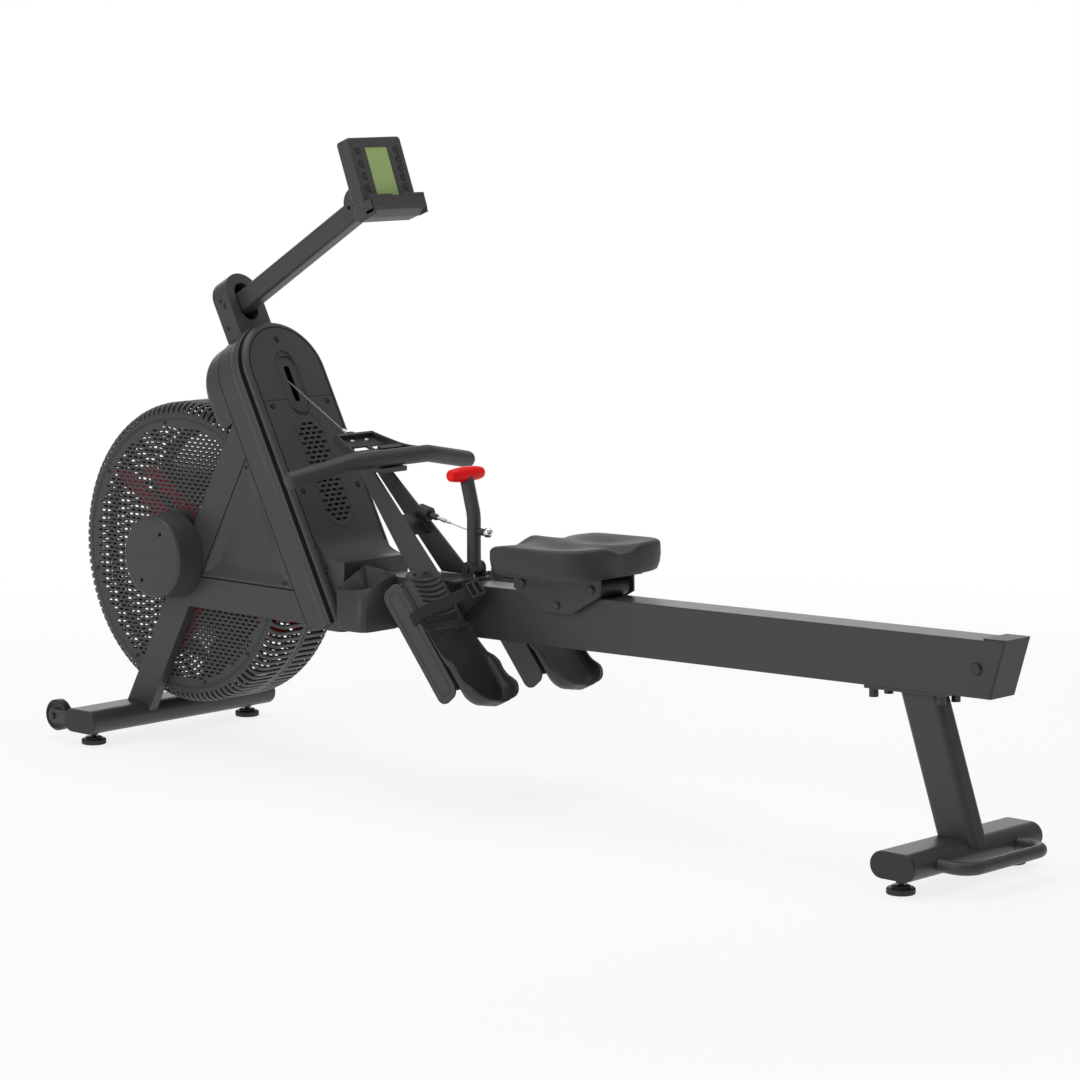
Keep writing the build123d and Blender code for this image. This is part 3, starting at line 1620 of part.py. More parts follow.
with BuildPart() as lever_arm:
    with BuildLine() as lever_path:
        FilletPolyline(lever_low, lever_knee, lever_top, radius=80)
    with BuildSketch(Plane(origin=lever_low, z_dir=(0, 0, 1))):
        Circle(lever_tube_radius)
    sweep()
    with BuildSketch(side(lever_y)):
        with Locations((lever_x, lever_z)):
            Circle(lever_boss_radius)
    extrude(amount=lever_boss_half, both=True)
    with BuildSketch(side(lever_y)):
        with Locations((lever_x, lever_z)):
            Circle(lever_pivot_radius)
    extrude(amount=lever_boss_half + ear_gap + ear_thick + 4, both=True)
    with BuildSketch(Plane(origin=(lever_x, lever_y, wire_lever_z), z_dir=(1, 0, 0))):
        Circle(ball_collar_radius)
    extrude(amount=lever_tube_radius + ball_stem)
    ball_x = lever_x + lever_tube_radius + ball_stem + ball_radius * 0.8
    with Locations((ball_x, lever_y, wire_lever_z)):
        Sphere(ball_radius)
    with BuildSketch(side(lever_y)):
        with Locations((lever_top_x, lever_top_z)):
            Circle(grip_radius + 1)
    extrude(amount=lever_tube_radius * 2, both=True, mode=Mode.SUBTRACT)
    with BuildSketch(side(lever_y)):
        with Locations((lever_top_x, lever_top_z)):
            Circle(8)
    extrude(amount=grip_length / 2 - 8, both=True)
    with BuildSketch(Plane(origin=lever_knee, z_dir=(lever_top - lever_knee).normalized())):
        Circle(6)
    extrude(amount=(lever_top - lever_knee).length)

with BuildPart() as lever_grip:
    half = grip_length / 2
    turn_about_y(
        [
            (8 + running, lever_y - half + 8),
            (8 + running, lever_y - half + 8 - running),
            (0, lever_y - half + 8 - running),
            (0, lever_y - half),
            (grip_end_radius, lever_y - half),
            (grip_radius, lever_y - half + 6),
            (grip_radius, lever_y + half - 6),
            (grip_end_radius, lever_y + half),
            (0, lever_y + half),
            (0, lever_y + half - 8 + running),
            (8 + running, lever_y + half - 8 + running),
            (8 + running, lever_y + half - 8),
        ],
        lever_top_x,
        lever_top_z,
    )
    with BuildSketch(Plane(origin=lever_knee, z_dir=(lever_top - lever_knee).normalized())):
        Circle(6 + running)
    extrude(amount=(lever_top - lever_knee).length, mode=Mode.SUBTRACT)

# Brake cable: threaded rod out of the adjuster barrel, then the wire
with BuildPart() as brake_cable:
    rod_start = wire_start + wire_run * barrel_length
    with BuildSketch(Plane(origin=rod_start, z_dir=wire_run)):
        Circle(rod_radius)
    extrude(amount=rod_length)
    with BuildSketch(Plane(origin=rod_start, z_dir=wire_run)):
        Circle(wire_radius)
    extrude(amount=(wire_end - rod_start).length)

# Seat: carriage of two side plates under a deck, two rollers and a crowned cushion
roller_h = roller_radius + roller_lift
plate_front_s = seat_s - axle_half_span - 22
plate_rear_s = seat_s + axle_half_span + 22

with BuildPart() as seat_carriage:
    for sign in (-1, 1):
        with BuildSketch(rail_side(sign * plate_inner_y)):
            with BuildLine():
                Polyline(
                    (plate_front_s, roller_h - 10),
                    (seat_s - 36, plate_bottom_h),
                    (seat_s + 36, plate_bottom_h),
                    (plate_rear_s, roller_h - 10),
                    (plate_rear_s, deck_h),
                    (plate_front_s, deck_h),
                    close=True,
                )
            make_face()
        extrude(amount=-sign * plate_thick)
        with BuildSketch(rail_side(sign * (rail_width / 2 + loose))):
            with Locations((seat_s, plate_bottom_h + 14)):
                Circle(guide_radius)
        extrude(amount=-sign * (plate_inner_y - rail_width / 2 - loose))
        with BuildSketch(rail_side(sign * (plate_inner_y + plate_thick))):
            with Locations(
                (seat_s - axle_half_span, roller_h),
                (seat_s + axle_half_span, roller_h),
                (seat_s, plate_bottom_h + 14),
            ):
                Circle(8)
        extrude(amount=-sign * 5)
    with BuildSketch(rail_side()):
        with Locations((seat_s, deck_h + deck_thick / 2)):
            Rectangle(plate_rear_s - plate_front_s, deck_thick)
    extrude(amount=plate_inner_y + plate_thick + 24, both=True)
    with BuildSketch(rail_side()):
        with Locations((seat_s - axle_half_span, roller_h), (seat_s + axle_half_span, roller_h)):
            Circle(roller_bore)
    extrude(amount=plate_inner_y + plate_thick / 2, both=True)


def roller(s):
    x, z = place(rail_side(), s, roller_h)
    with BuildPart() as turned:
        turn_about_y(
            [
                (roller_bore + running, -roller_half_length),
                (roller_radius - 1.5, -roller_half_length),
                (roller_radius, -roller_half_length + 1.5),
                (roller_radius, roller_half_length - 1.5),
                (roller_radius - 1.5, roller_half_length),
                (roller_bore + running, roller_half_length),
            ],
            x,
            z,
        )
    return turned


roller_front = roller(seat_s - axle_half_span)
roller_rear = roller(seat_s + axle_half_span)

cushion_bottom_h = deck_h + deck_thick + loose
seat_plane = Plane(
    origin=rail_side().from_local_coords((seat_s + 12, cushion_bottom_h, 0)),
    x_dir=rail_side().x_dir,
    z_dir=rail_side().y_dir,
)


def cushion_outline(lift, grow):
    """Two-lobed plan of the cushion at a height, wider or narrower by a margin."""
    front = -cushion_length / 2 - grow
    rear = cushion_length / 2 + grow
    half = cushion_half_width + grow
    with BuildSketch(seat_plane.offset(lift)) as outline:
        with BuildLine():
            Spline(
                (front, 0),
                (front + 3, -half * 0.62),
                (front + 20, -half * 0.92),
                (0, -half),
                (rear - 30, -half * 0.9),
                (rear - 4, -half * 0.6),
                (rear - cushion_notch, 0),
                (rear - 4, half * 0.6),
                (rear - 30, half * 0.9),
                (0, half),
                (front + 20, half * 0.92),
                (front + 3, half * 0.62),
                periodic=True,
            )
        make_face()
    return outline.sketch


with BuildPart() as seat_cushion:
    add(cushion_outline(0, -cushion_tuck - 2))
    add(cushion_outline(cushion_height * 0.35, 0))
    add(cushion_outline(cushion_height * 0.85, -1))
    add(cushion_outline(cushion_height, -cushion_crown))
    loft()

# Bottle tray on the rail's left side
with BuildPart() as bottle_tray:
    rail_face_y = -rail_width / 2
    for wall, floor in ((0, 0), (tray_wall, tray_wall)):
        with BuildSketch(Plane.XY.offset(tray_floor_z + floor)):
            with BuildLine() as rim:
                FilletPolyline(
                    (tray_front_x + wall, rail_face_y - wall),
                    (tray_front_x + wall, -tray_outer_y + wall),
                    (tray_front_x + 60, -tray_outer_y + wall),
                    (tray_rear_x - wall, rail_face_y - 30),
                    (tray_rear_x - wall, rail_face_y - wall),
                    radius=tray_corner - wall,
                    close=False,
                )
                Line(
                    (tray_rear_x - wall, rail_face_y - wall),
                    (tray_front_x + wall, rail_face_y - wall),
                )
            make_face()
        extrude(
            amount=tray_rear_z - tray_floor_z + floor,
            mode=Mode.ADD if floor == 0 else Mode.SUBTRACT,
        )
    with BuildSketch(side(0)):
        with BuildLine():
            Polyline(
                (tray_front_x - 1, tray_front_z),
                (tray_front_x + 70, tray_front_z),
                (tray_rear_x + 1, tray_rear_z),
                (tray_rear_x + 1, tray_rear_z + 60),
                (tray_front_x - 1, tray_rear_z + 60),
                close=True,
            )
        make_face()
    extrude(amount=2 * tray_outer_y, both=True, mode=Mode.SUBTRACT)
    with BuildSketch(column_side()):
        with Locations((loose - shroud_depth, beam_bottom_u)):
            Rectangle(2 * shroud_depth, 4 * shroud_half_width)
    extrude(amount=2 * tray_outer_y, both=True, mode=Mode.SUBTRACT)

# Mast bracket: arch-topped block with a slot for the console arm
arm_pivot_x, arm_pivot_z = place(column_side(), arm_pivot_n, arm_pivot_u)

with BuildPart() as mast_bracket:
    with BuildSketch(column_face(bracket_front_n)):
        tombstone(bracket_half_width, bracket_arch_u, arch_u + shroud_half_width / 2)
    extrude(amount=bracket_depth)
    with BuildSketch(column_face(bracket_front_n + bracket_depth)):
        with Locations((0, (bracket_slot_bottom_u + bracket_slot_top_u) / 2)):
            SlotOverall(
                bracket_slot_top_u - bracket_slot_bottom_u, bracket_slot_width, rotation=90
            )
    extrude(amount=-bracket_slot_depth, mode=Mode.SUBTRACT)
    with BuildSketch(column_face(bracket_front_n)):
        tombstone(bracket_half_width - bracket_edge, bracket_arch_u, arch_u)
        with Locations((0, (bracket_slot_bottom_u + bracket_slot_top_u) / 2)):
            SlotOverall(
                bracket_slot_top_u - bracket_slot_bottom_u + 2 * bracket_edge,
                bracket_slot_width + 2 * bracket_edge,
                rotation=90,
                mode=Mode.SUBTRACT,
            )
    extrude(amount=bracket_depth - bracket_edge, mode=Mode.SUBTRACT)
    with BuildSketch(column_face(-2 * shroud_depth)):
        tombstone(shroud_half_width, arch_u, apex_bottom_u)
    extrude(amount=3 * shroud_depth, mode=Mode.SUBTRACT)
    with BuildSketch(side(0)):
        with Locations((arm_pivot_x, arm_pivot_z)):
            Circle(arm_pin_radius + running)
    extrude(amount=2 * bracket_half_width, both=True, mode=Mode.SUBTRACT)

# Console arm: rounded tube from the bracket pin to the console knuckle
arm_run = Vector(knuckle_x - arm_pivot_x, 0, knuckle_z - arm_pivot_z)
arm_length = arm_run.length
arm_dir = arm_run.normalized()

with BuildPart() as console_arm:
    with BuildSketch(Plane(origin=(arm_pivot_x, 0, arm_pivot_z), x_dir=(0, 1, 0), z_dir=arm_dir)):
        RectangleRounded(arm_width, arm_height, arm_corner)
    extrude(amount=arm_length)
    with BuildSketch(side(0)):
        with Locations((arm_pivot_x, arm_pivot_z)):
            Circle(arm_end_radius)
    extrude(amount=arm_width / 2 - 1, both=True)
    with BuildSketch(side(0)):
        with Locations((arm_pivot_x, arm_pivot_z)):
            Circle(arm_pin_radius)
    extrude(amount=bracket_half_width - 2, both=True)
    with BuildSketch(side(0)):
        with Locations((knuckle_x, knuckle_z)):
            Circle(knuckle_radius + 8)
    extrude(amount=arm_width, both=True, mode=Mode.SUBTRACT)
    with BuildSketch(side(0)):
        with Locations((knuckle_x, knuckle_z)):
            Circle(knuckle_radius)
    extrude(amount=barrel_half_width - ear_gap, both=True)
    with BuildSketch(Plane(origin=Vector(knuckle_x, 0, knuckle_z) - arm_dir * (knuckle_radius + 12),
                           x_dir=(0, 1, 0), z_dir=arm_dir)):
        RectangleRounded(2 * (barrel_half_width - ear_gap), arm_height, arm_corner)
    extrude(amount=knuckle_radius)
    with BuildSketch(side(0)):
        with Locations((knuckle_x, knuckle_z)):
            Circle(knuckle_pin_radius)
    extrude(amount=knuckle_half_width - 2, both=True)
    hollow_start = Vector(arm_pivot_x, 0, arm_pivot_z) + arm_dir * (arm_end_radius + arm_wall)
    hollow_length = arm_length - arm_end_radius - knuckle_radius - 5 * arm_wall - arm_corner
    with BuildSketch(Plane(origin=hollow_start, x_dir=(0, 1, 0), z_dir=arm_dir)):
        RectangleRounded(arm_width - 2 * arm_wall, arm_height - 2 * arm_wall, arm_corner - arm_wall)
    extrude(amount=hollow_length, mode=Mode.SUBTRACT)
    port = hollow_start + arm_dir * (hollow_length - 2 * arm_port_radius)
    with BuildSketch(Plane(origin=port, z_dir=arm_dir.cross(Vector(0, 1, 0)))):
        Circle(arm_port_radius)
    extrude(amount=arm_height, mode=Mode.SUBTRACT)

# Console: case with a knuckle fork, a ledge, a screen and nine keys
key_places = []
for count, y in ((left_key_count, -key_column), (right_key_count, key_column)):
    for index in range(count):
        u = key_centre_u + key_span / 2 - index * key_span / (count - 1)
        key_places.append((y, u))

with BuildPart() as console_case:
    with BuildSketch(console_face(-console_thick)):
        with Locations((0, (console_top_u + console_bottom_u) / 2)):
            RectangleRounded(
                2 * console_half_width, console_top_u - console_bottom_u, console_corner
            )
    extrude(amount=console_thick)
    fillet(console_case.faces().sort_by(Axis(
        (0, 0, 0), console_face().z_dir))[-1].edges(), 3)
    fillet(console_case.faces().sort_by(Axis(
        (0, 0, 0), console_face().z_dir))[0].edges(), 6)
    with BuildSketch(console_side()):
        with BuildLine():
            Polyline(
                (-console_thick / 2, ledge_bottom_u),
                (ledge_reach - 6, ledge_bottom_u),
                (ledge_reach, ledge_bottom_u + 6),
                (ledge_reach, ledge_top_u),
                (ledge_reach - ledge_wall, ledge_top_u),
                (ledge_reach - ledge_wall, ledge_bottom_u + ledge_wall + 2),
                (-console_thick / 2, ledge_bottom_u + ledge_wall + 2),
                close=True,
            )
        make_face()
    extrude(amount=console_half_width - 1, both=True)
    for sign in (-1, 1):
        with BuildSketch(side(sign * barrel_half_width)):
            with Locations((knuckle_x, knuckle_z)):
                Circle(knuckle_radius)
        extrude(amount=-sign * (knuckle_half_width - barrel_half_width))
        with BuildSketch(console_side(sign * barrel_half_width)):
            knuckle_local = console_side().to_local_coords(Vector(knuckle_x, 0, knuckle_z))
            with BuildLine():
                Polyline(
                    (knuckle_local.X, knuckle_local.Y - knuckle_radius),
                    (-console_thick + 2, knuckle_local.Y - knuckle_radius),
                    (-console_thick + 2, knuckle_local.Y + knuckle_radius),
                    (knuckle_local.X, knuckle_local.Y + knuckle_radius),
                    close=True,
                )
            make_face()
        extrude(amount=-sign * (knuckle_half_width - barrel_half_width))
    with BuildSketch(side(0)):
        with Locations((knuckle_x, knuckle_z)):
            Circle(knuckle_radius + 1)
    extrude(amount=barrel_half_width, both=True, mode=Mode.SUBTRACT)
    with BuildSketch(side(0)):
        with Locations((knuckle_x, knuckle_z)):
            Circle(knuckle_pin_radius + running)
    extrude(amount=2 * knuckle_half_width, both=True, mode=Mode.SUBTRACT)
    with BuildSketch(console_face(-screen_thick)):
        Rectangle(2 * screen_half_width, 2 * screen_half_height)
    extrude(amount=2 * screen_thick, mode=Mode.SUBTRACT)
    with BuildSketch(console_face(-key_depth - 2)):
        with Locations(*key_places):
            Circle(key_radius + loose)
    extrude(amount=2 * key_depth, mode=Mode.SUBTRACT)

with BuildPart() as console_screen:
    with BuildSketch(console_face(-screen_thick)):
        Rectangle(2 * screen_half_width - 2 * loose, 2 * screen_half_height - 2 * loose)
    extrude(amount=screen_thick - 1)


def console_key(y, u):
    with BuildPart() as key:
        with BuildSketch(console_face(key_proud)) as cap:
            with Locations((y, u)):
                Circle(key_radius)
        extrude(cap.sketch, amount=-key_depth)
    return key


pieces = {
    "front_foot": front_foot,
    "rear_foot": rear_foot,
    "foot_end_caps": foot_end_caps,
    "leveller_pads": leveller_pads,
    "frame_fasteners": frame_fasteners,
    "wheel_left": wheel_left,
    "wheel_right": wheel_right,
    "side_frame_left": side_frame_left,
    "side_frame_right": side_frame_right,
    "side_panels": side_panels,
    "hub_covers": hub_covers,
    "cage_left": cage_left,
    "cage_right": cage_right,
    "cage_grilles": cage_grilles,
    "drive_axles": drive_axles,
    "fan_bearings": fan_bearings,
    "fan_hub": fan_hub,
    "fan_blades": fan_blades,
    "drive_drum": drive_drum,
    "guide_pulley": guide_pulley,
    "column_shroud": column_shroud,
    "rear_panel": rear_panel,
    "apex_cover": apex_cover,
    "column_beam": column_beam,
    "rail": rail,
    "rail_end_cap": rail_end_cap,
    "return_cord": return_cord,
    "rear_leg": rear_leg,
    "lift_handle": lift_handle,
    "pedal_left": pedal_left,
    "pedal_right": pedal_right,
    "toe_pads": toe_pads,
    "heel_cup_left": heel_cup_left,
    "heel_cup_right": heel_cup_right,
    "foot_straps": foot_straps,
    "handle_bar": handle_bar,
    "handle_bracket": handle_bracket,
    "pull_cable": pull_cable,
    "handle_rest": handle_rest,
    "lever_arm": lever_arm,
    "lever_grip": lever_grip,
    "brake_cable": brake_cable,
    "seat_carriage": seat_carriage,
    "roller_front": roller_front,
    "roller_rear": roller_rear,
    "seat_cushion": seat_cushion,
    "bottle_tray": bottle_tray,
    "mast_bracket": mast_bracket,
    "console_arm": console_arm,
    "console_case": console_case,
    "console_screen": console_screen,
}

for number, (y, u) in enumerate(key_places, start=1):
    pieces[f"key_{number}"] = console_key(y, u)

for name, piece in pieces.items():
    piece.part.label = name
    export_step(piece.part, f"parts/{name}.step")
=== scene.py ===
# %% [markdown]
# # Rowing machine
# An air rower: a caged fan, a leaning column, a rail with a sliding seat, footboards, a cable handle,
# a resistance lever and a tilting console. The CAD pieces come in first, and this lesson dresses them
# and draws the finer ones over them. Blender works in metres; the drawing numbers are millimetres.

# %% Load the frame
import bpy
import bmesh
import json
from math import cos, exp, hypot, pi, radians, sin, tan
from mathutils import Matrix, Vector


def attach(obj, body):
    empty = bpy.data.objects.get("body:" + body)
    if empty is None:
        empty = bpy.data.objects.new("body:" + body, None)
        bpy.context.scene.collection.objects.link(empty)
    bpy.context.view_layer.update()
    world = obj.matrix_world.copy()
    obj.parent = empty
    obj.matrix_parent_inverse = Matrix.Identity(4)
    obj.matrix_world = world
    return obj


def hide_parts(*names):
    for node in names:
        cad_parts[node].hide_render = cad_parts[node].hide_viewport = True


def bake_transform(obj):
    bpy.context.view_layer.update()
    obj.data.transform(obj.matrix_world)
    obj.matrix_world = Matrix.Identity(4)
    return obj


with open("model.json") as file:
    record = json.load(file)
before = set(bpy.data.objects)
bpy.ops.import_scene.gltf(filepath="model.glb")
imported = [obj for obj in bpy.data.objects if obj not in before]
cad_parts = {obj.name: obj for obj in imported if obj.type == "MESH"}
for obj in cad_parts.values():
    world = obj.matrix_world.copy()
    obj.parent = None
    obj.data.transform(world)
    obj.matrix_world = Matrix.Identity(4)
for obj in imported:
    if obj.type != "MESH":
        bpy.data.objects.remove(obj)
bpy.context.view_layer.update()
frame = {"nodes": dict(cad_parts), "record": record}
scene = bpy.context.scene

# %% [markdown]
# ## Camera
# The view is from behind the rower's left, a little above the console. A short lens close by would
# swell the rear foot, so a long lens stands well back and keeps the rail's edges nearly parallel.

# %% Camera
FOOT_X = -1.015
camera_data = bpy.data.cameras.new("camera")
camera = bpy.data.objects.new("camera", camera_data)
scene.collection.objects.link(camera)
camera.location = (FOOT_X + 6.0105, -5.3413, 1.5213)
camera.rotation_euler = (radians(90 - 7.90), 0, radians(42.72))
camera_data.sensor_width = 36
camera_data.lens = 125.93
camera_data.clip_end = 60
scene.camera = camera
scene.view_settings.view_transform = "Standard"
print("camera", tuple(round(v, 3) for v in camera.location))

# %% [markdown]
# ## Light
# A dark machine needs broad, soft reflections to show its shape. Small lamps would give hard spots,
# so three large area lamps are used: one in front, one above and one behind for the edges. They are
# hidden from the camera.

# %% Soft boxes
def soft_box(name, place, target, size, power):
    lamp = bpy.data.lights.new(name, "AREA")
    lamp.shape = "RECTANGLE"
    lamp.size, lamp.size_y = size
    lamp.energy = power
    holder = bpy.data.objects.new(name, lamp)
    scene.collection.objects.link(holder)
    holder.location = place
    holder.visible_camera = False
    holder.rotation_euler = (Vector(target) - Vector(place)).to_track_quat("-Z", "Y").to_euler()
    return holder


lamps = [
    soft_box("key_light", (-0.6, -4.4, 2.7), (-0.2, 0, 0.5), (3.6, 2.4), 74),
    soft_box("top_light", (-0.3, 0.4, 4.2), (0, 0, 0.3), (4.4, 3.0), 98),
    soft_box("rim_light", (-3.6, 3.4, 1.5), (0.2, 0, 0.4), (5.0, 2.0), 46),
]
print("soft boxes", [(lamp.name, lamp.data.energy) for lamp in lamps])

# %% [markdown]
# ## Studio
# The backdrop is pure white to the camera, but a world that bright would wash the machine out. The
# Light Path node tells the rays apart: full white for the camera and for rays through glass, a part
# of it for reflections, and a low level for the light that falls on the surfaces.

# %% World
def add_node(tree, kind, inputs=None, **settings):
    """Add a node with its settings; each input is a value or another node's socket."""
    made = tree.nodes.new("ShaderNode" + kind)
    for key, value in settings.items():
        setattr(made, key, value)
    for key, value in (inputs or {}).items():
        if isinstance(value, bpy.types.NodeSocket):
            tree.links.new(value, made.inputs[key])
        else:
            made.inputs[key].default_value = value
    return made


WHITE = (1, 1, 1, 1)
REFLECTED, AMBIENT = 0.4, 0.26
world = bpy.data.worlds.new("studio")
scene.world = world
world.use_nodes = True
tree = world.node_tree
tree.nodes.clear()
ray = add_node(tree, "LightPath").outputs
level = add_node(tree, "Math", {0: ray["Is Glossy Ray"], 1: REFLECTED}, operation="MULTIPLY").outputs[0]
for other in (ray["Is Camera Ray"], ray["Is Transmission Ray"], AMBIENT):
    level = add_node(tree, "Math", {0: level, 1: other}, operation="MAXIMUM").outputs[0]
sky = add_node(tree, "Background", {"Color": WHITE, "Strength": level})
add_node(tree, "OutputWorld", {"Surface": sky.outputs[0]})
print("studio level", AMBIENT, "on surfaces,", REFLECTED, "in reflections")

# %% [markdown]
# ## Materials
# Nearly everything here is black, so the finishes differ by how they scatter light: powder coat,
# moulded plastic, rubber, foam and webbing. Pictures could be wrapped round the pieces, but node
# patterns on Object coordinates need no unwrapping and keep their real size. The Bevel node softens
# sharp CAD edges in the shading only, so that they catch the light as real edges do.

# %% Colour and finish
def linear(code):
    """Linear colour from an sRGB hex code."""
    parts = [int(code[i:i + 2], 16) / 255 for i in (1, 3, 5)]
    return tuple(c / 12.92 if c <= 0.04045 else ((c + 0.055) / 1.055) ** 2.4 for c in parts) + (1.0,)


def finish(name, code, rough, metal=0.0, grain=0.0, grain_mm=0.4, shine=0.5, edge_mm=0.0):
    """Principled finish with an optional moulded grain and softened edges, in real sizes."""
    material = bpy.data.materials.new(name)
    material.use_nodes = True
    tree = material.node_tree
    shader = tree.nodes["Principled BSDF"]
    for key, value in (("Base Color", linear(code)), ("Roughness", rough), ("Metallic", metal),
                       ("Specular IOR Level", shine)):
        shader.inputs[key].default_value = value
    normal = None
    if edge_mm:
        normal = add_node(tree, "Bevel", {"Radius": edge_mm / 1000}, samples=4).outputs[0]
    if grain:
        place = add_node(tree, "TexCoord").outputs["Object"]
        noise = add_node(tree, "TexNoise", {"Vector": place, "Scale": 1000 / grain_mm, "Detail": 2.0})
        relief = {"Height": noise.outputs[0], "Strength": grain, "Distance": 0.0002}
        if normal:
            relief["Normal"] = normal
        normal = add_node(tree, "Bump", relief).outputs[0]
    if normal:
        tree.links.new(normal, shader.inputs["Normal"])
    return material


print("mid grey is", round(linear("#808080")[0], 3), "in linear light")

# %% [markdown]
# ## Finishes
# Each finish is named for the real material. The grain sizes are real ones; most are finer than a
# pixel of the full view, where they only break up the highlights, and they show in close views.

# %% Finishes
looks = {
    # Powder-coated steel: a dark satin skin with a fine orange peel, bright along its edges.
    "frame_coat": finish("powder_coated_steel", "#3b393a", 0.40, grain=0.25, grain_mm=0.55,
                         shine=0.4, edge_mm=3.0),
    # Moulded ABS with a spark-eroded grain: dull, a little softer than the coat.
    "shell_plastic": finish("grained_abs", "#3b3a3c", 0.46, grain=0.2, grain_mm=0.38,
                            shine=0.4, edge_mm=2.5),
    # Glass-filled nylon: darker and matt, for small working pieces.
    "black_plastic": finish("moulded_nylon", "#2c2b2d", 0.45, shine=0.35),
    # Moulded nitrile rubber: dull black with a faint sheen.
    "rubber_black": finish("nitrile_rubber", "#333234", 0.5, shine=0.4),
    # Zinc-plated steel: pale metal with soft reflections.
    "steel": finish("zinc_plated_steel", "#b9b8b6", 0.3, metal=1.0),
    # Black-oxide bolts: nearly black with an oily sheen.
    "bolt_black": finish("black_oxide_steel", "#262526", 0.35, shine=0.5),
    # Painted sheet for the paddles: clear red that still shows in the cage's shade.
    "fan_red": finish("red_enamel", "#f8181c", 0.4),
    # Cast aluminium hub: grey, half metal to the eye.
    "fan_alloy": finish("cast_aluminium", "#8c8c8c", 0.4, metal=0.6),
    # Soft PVC grip: saturated red with little gloss.
    "grip_red": finish("soft_pvc", "#ee0810", 0.4, shine=0.2),
    # Self-skinned polyurethane foam: matt with a leather-like grain.
    "seat_foam": finish("skinned_foam", "#353334", 0.55, grain=0.3, grain_mm=0.67, shine=0.35),
    # Woven polypropylene webbing: rough and dry.
    "strap_fabric": finish("woven_webbing", "#2c2b2c", 0.8, grain=0.4, grain_mm=1.1, shine=0.2),
    # Unlit liquid-crystal display behind acrylic: flat grey green.
    "screen_glass": finish("unlit_display", "#93a96c", 0.25, shine=0.3),
    # Chromed steel: a near mirror.
    "chrome": finish("chromed_steel", "#dcdcdc", 0.08, metal=1.0),
    # Drawn steel rope: dull grey metal.
    "steel_dark": finish("drawn_steel_rope", "#6d6d6e", 0.4, metal=0.7),
    # Shade in seams and wells, where no light comes back.
    "dark_line": finish("seam_shade", "#0a0a0a", 0.7, shine=0.1),
}
print(len(looks), "finishes")

# %% [markdown]
# ## Dressing the CAD pieces
# The record names a material slot for every CAD piece. Materials could be set one by one, but a loop
# over the slots can't miss a piece.

# %% Dress the CAD pieces
slot_of = {part["node"]: part["material_slot"] for part in frame["record"]["subparts"]}
for name, node in frame["nodes"].items():
    node.data.materials.clear()
    node.data.materials.append(looks[slot_of[name]])
print(len(slot_of), "CAD pieces dressed")

# %% [markdown]
# ## Drawing planes
# The rail, the column, the footboards and the console all lean. Their details could be drawn in the
# scene's own axes, but it is easier to draw each on its own plane, as (along, across, out) in
# millimetres, and to let one matrix put it in place.

# %% Drawing planes
MM = 0.001


def at(x, y, z):
    """A point in millimetres from the front foot's middle on the floor."""
    return Vector((FOOT_X + x * MM, y * MM, z * MM))


def side_plane(x, z, angle):
    """Matrix of a plane through (x, z) that rises by an angle: along, across, out."""
    c, s = cos(radians(angle)), sin(radians(angle))
    origin = at(x, 0, z)
    return Matrix((
        (c * MM, 0, -s * MM, origin.x),
        (0, MM, 0, origin.y),
        (s * MM, 0, c * MM, origin.z),
        (0, 0, 0, 1),
    ))


FLOOR_PLANE = side_plane(0, 0, 0)
COLUMN = side_plane(451.6, 649.2, 28.0)
RAIL = side_plane(0, 391.7, 1.3)
BOARD = side_plane(867.0, 432.0, -50.7)
CONSOLE = side_plane(650.0, 1215.0, 21.0)
print("console face at", tuple(round(v, 3) for v in CONSOLE.translation))

# %% [markdown]
# ## Adding a piece
# A new piece has to be linked, shaded, dressed and tied to the body that it moves with, and it may
# stand in for a CAD piece. One function does all of it, so that no step is forgotten. Its place is
# in its mesh and its object stays at the origin. Thin shells get their wall from Solidify.

# %% Adding a piece
def add_piece(name, verts, faces, look, body, nodes=(), plane=FLOOR_PLANE, angle=35, slot=None):
    """One mesh piece drawn in a plane, shaded smooth up to an angle, riding on a body if named."""
    mesh = bpy.data.meshes.new(name)
    mesh.from_pydata([plane @ Vector(v) for v in verts], [], faces)
    mesh.update()
    mesh.shade_smooth()
    mesh.set_sharp_from_angle(angle=radians(angle))
    mesh.materials.append(looks[look])
    piece = bpy.data.objects.new(name, mesh)
    scene.collection.objects.link(piece)
    if body:
        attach(piece, body)
    if nodes:
        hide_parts(*nodes)
    return piece


def thicken(piece, thickness, inward=True):
    wall = piece.modifiers.new("wall", "SOLIDIFY")
    wall.thickness = thickness * MM
    wall.offset = -1 if inward else 1
    wall.use_even_offset = True
    return piece


# %% [markdown]
# ## Skins and turned forms
# Most of the pieces are skins between sections or forms made on a lathe. They could be sculpted by
# hand, but operators repeat exactly: a ring of edges is extruded from section to section, or a
# profile is spun round an axis. Extruding and spinning may leave faces inside out, so they are
# turned outwards before a wall is added.

# %% Skins and turned forms
def drawn(form):
    """Points and faces of a bmesh form, which is then freed."""
    form.verts.index_update()
    verts = [tuple(vert.co) for vert in form.verts]
    faces = [tuple(vert.index for vert in face.verts) for face in form.faces]
    form.free()
    return verts, faces


def outward(form, flip=False):
    """Faces of a form turned the same way, outwards or, for a few open skins, the other way."""
    bmesh.ops.recalc_face_normals(form, faces=form.faces)
    if flip:
        bmesh.ops.reverse_faces(form, faces=form.faces)
    return form


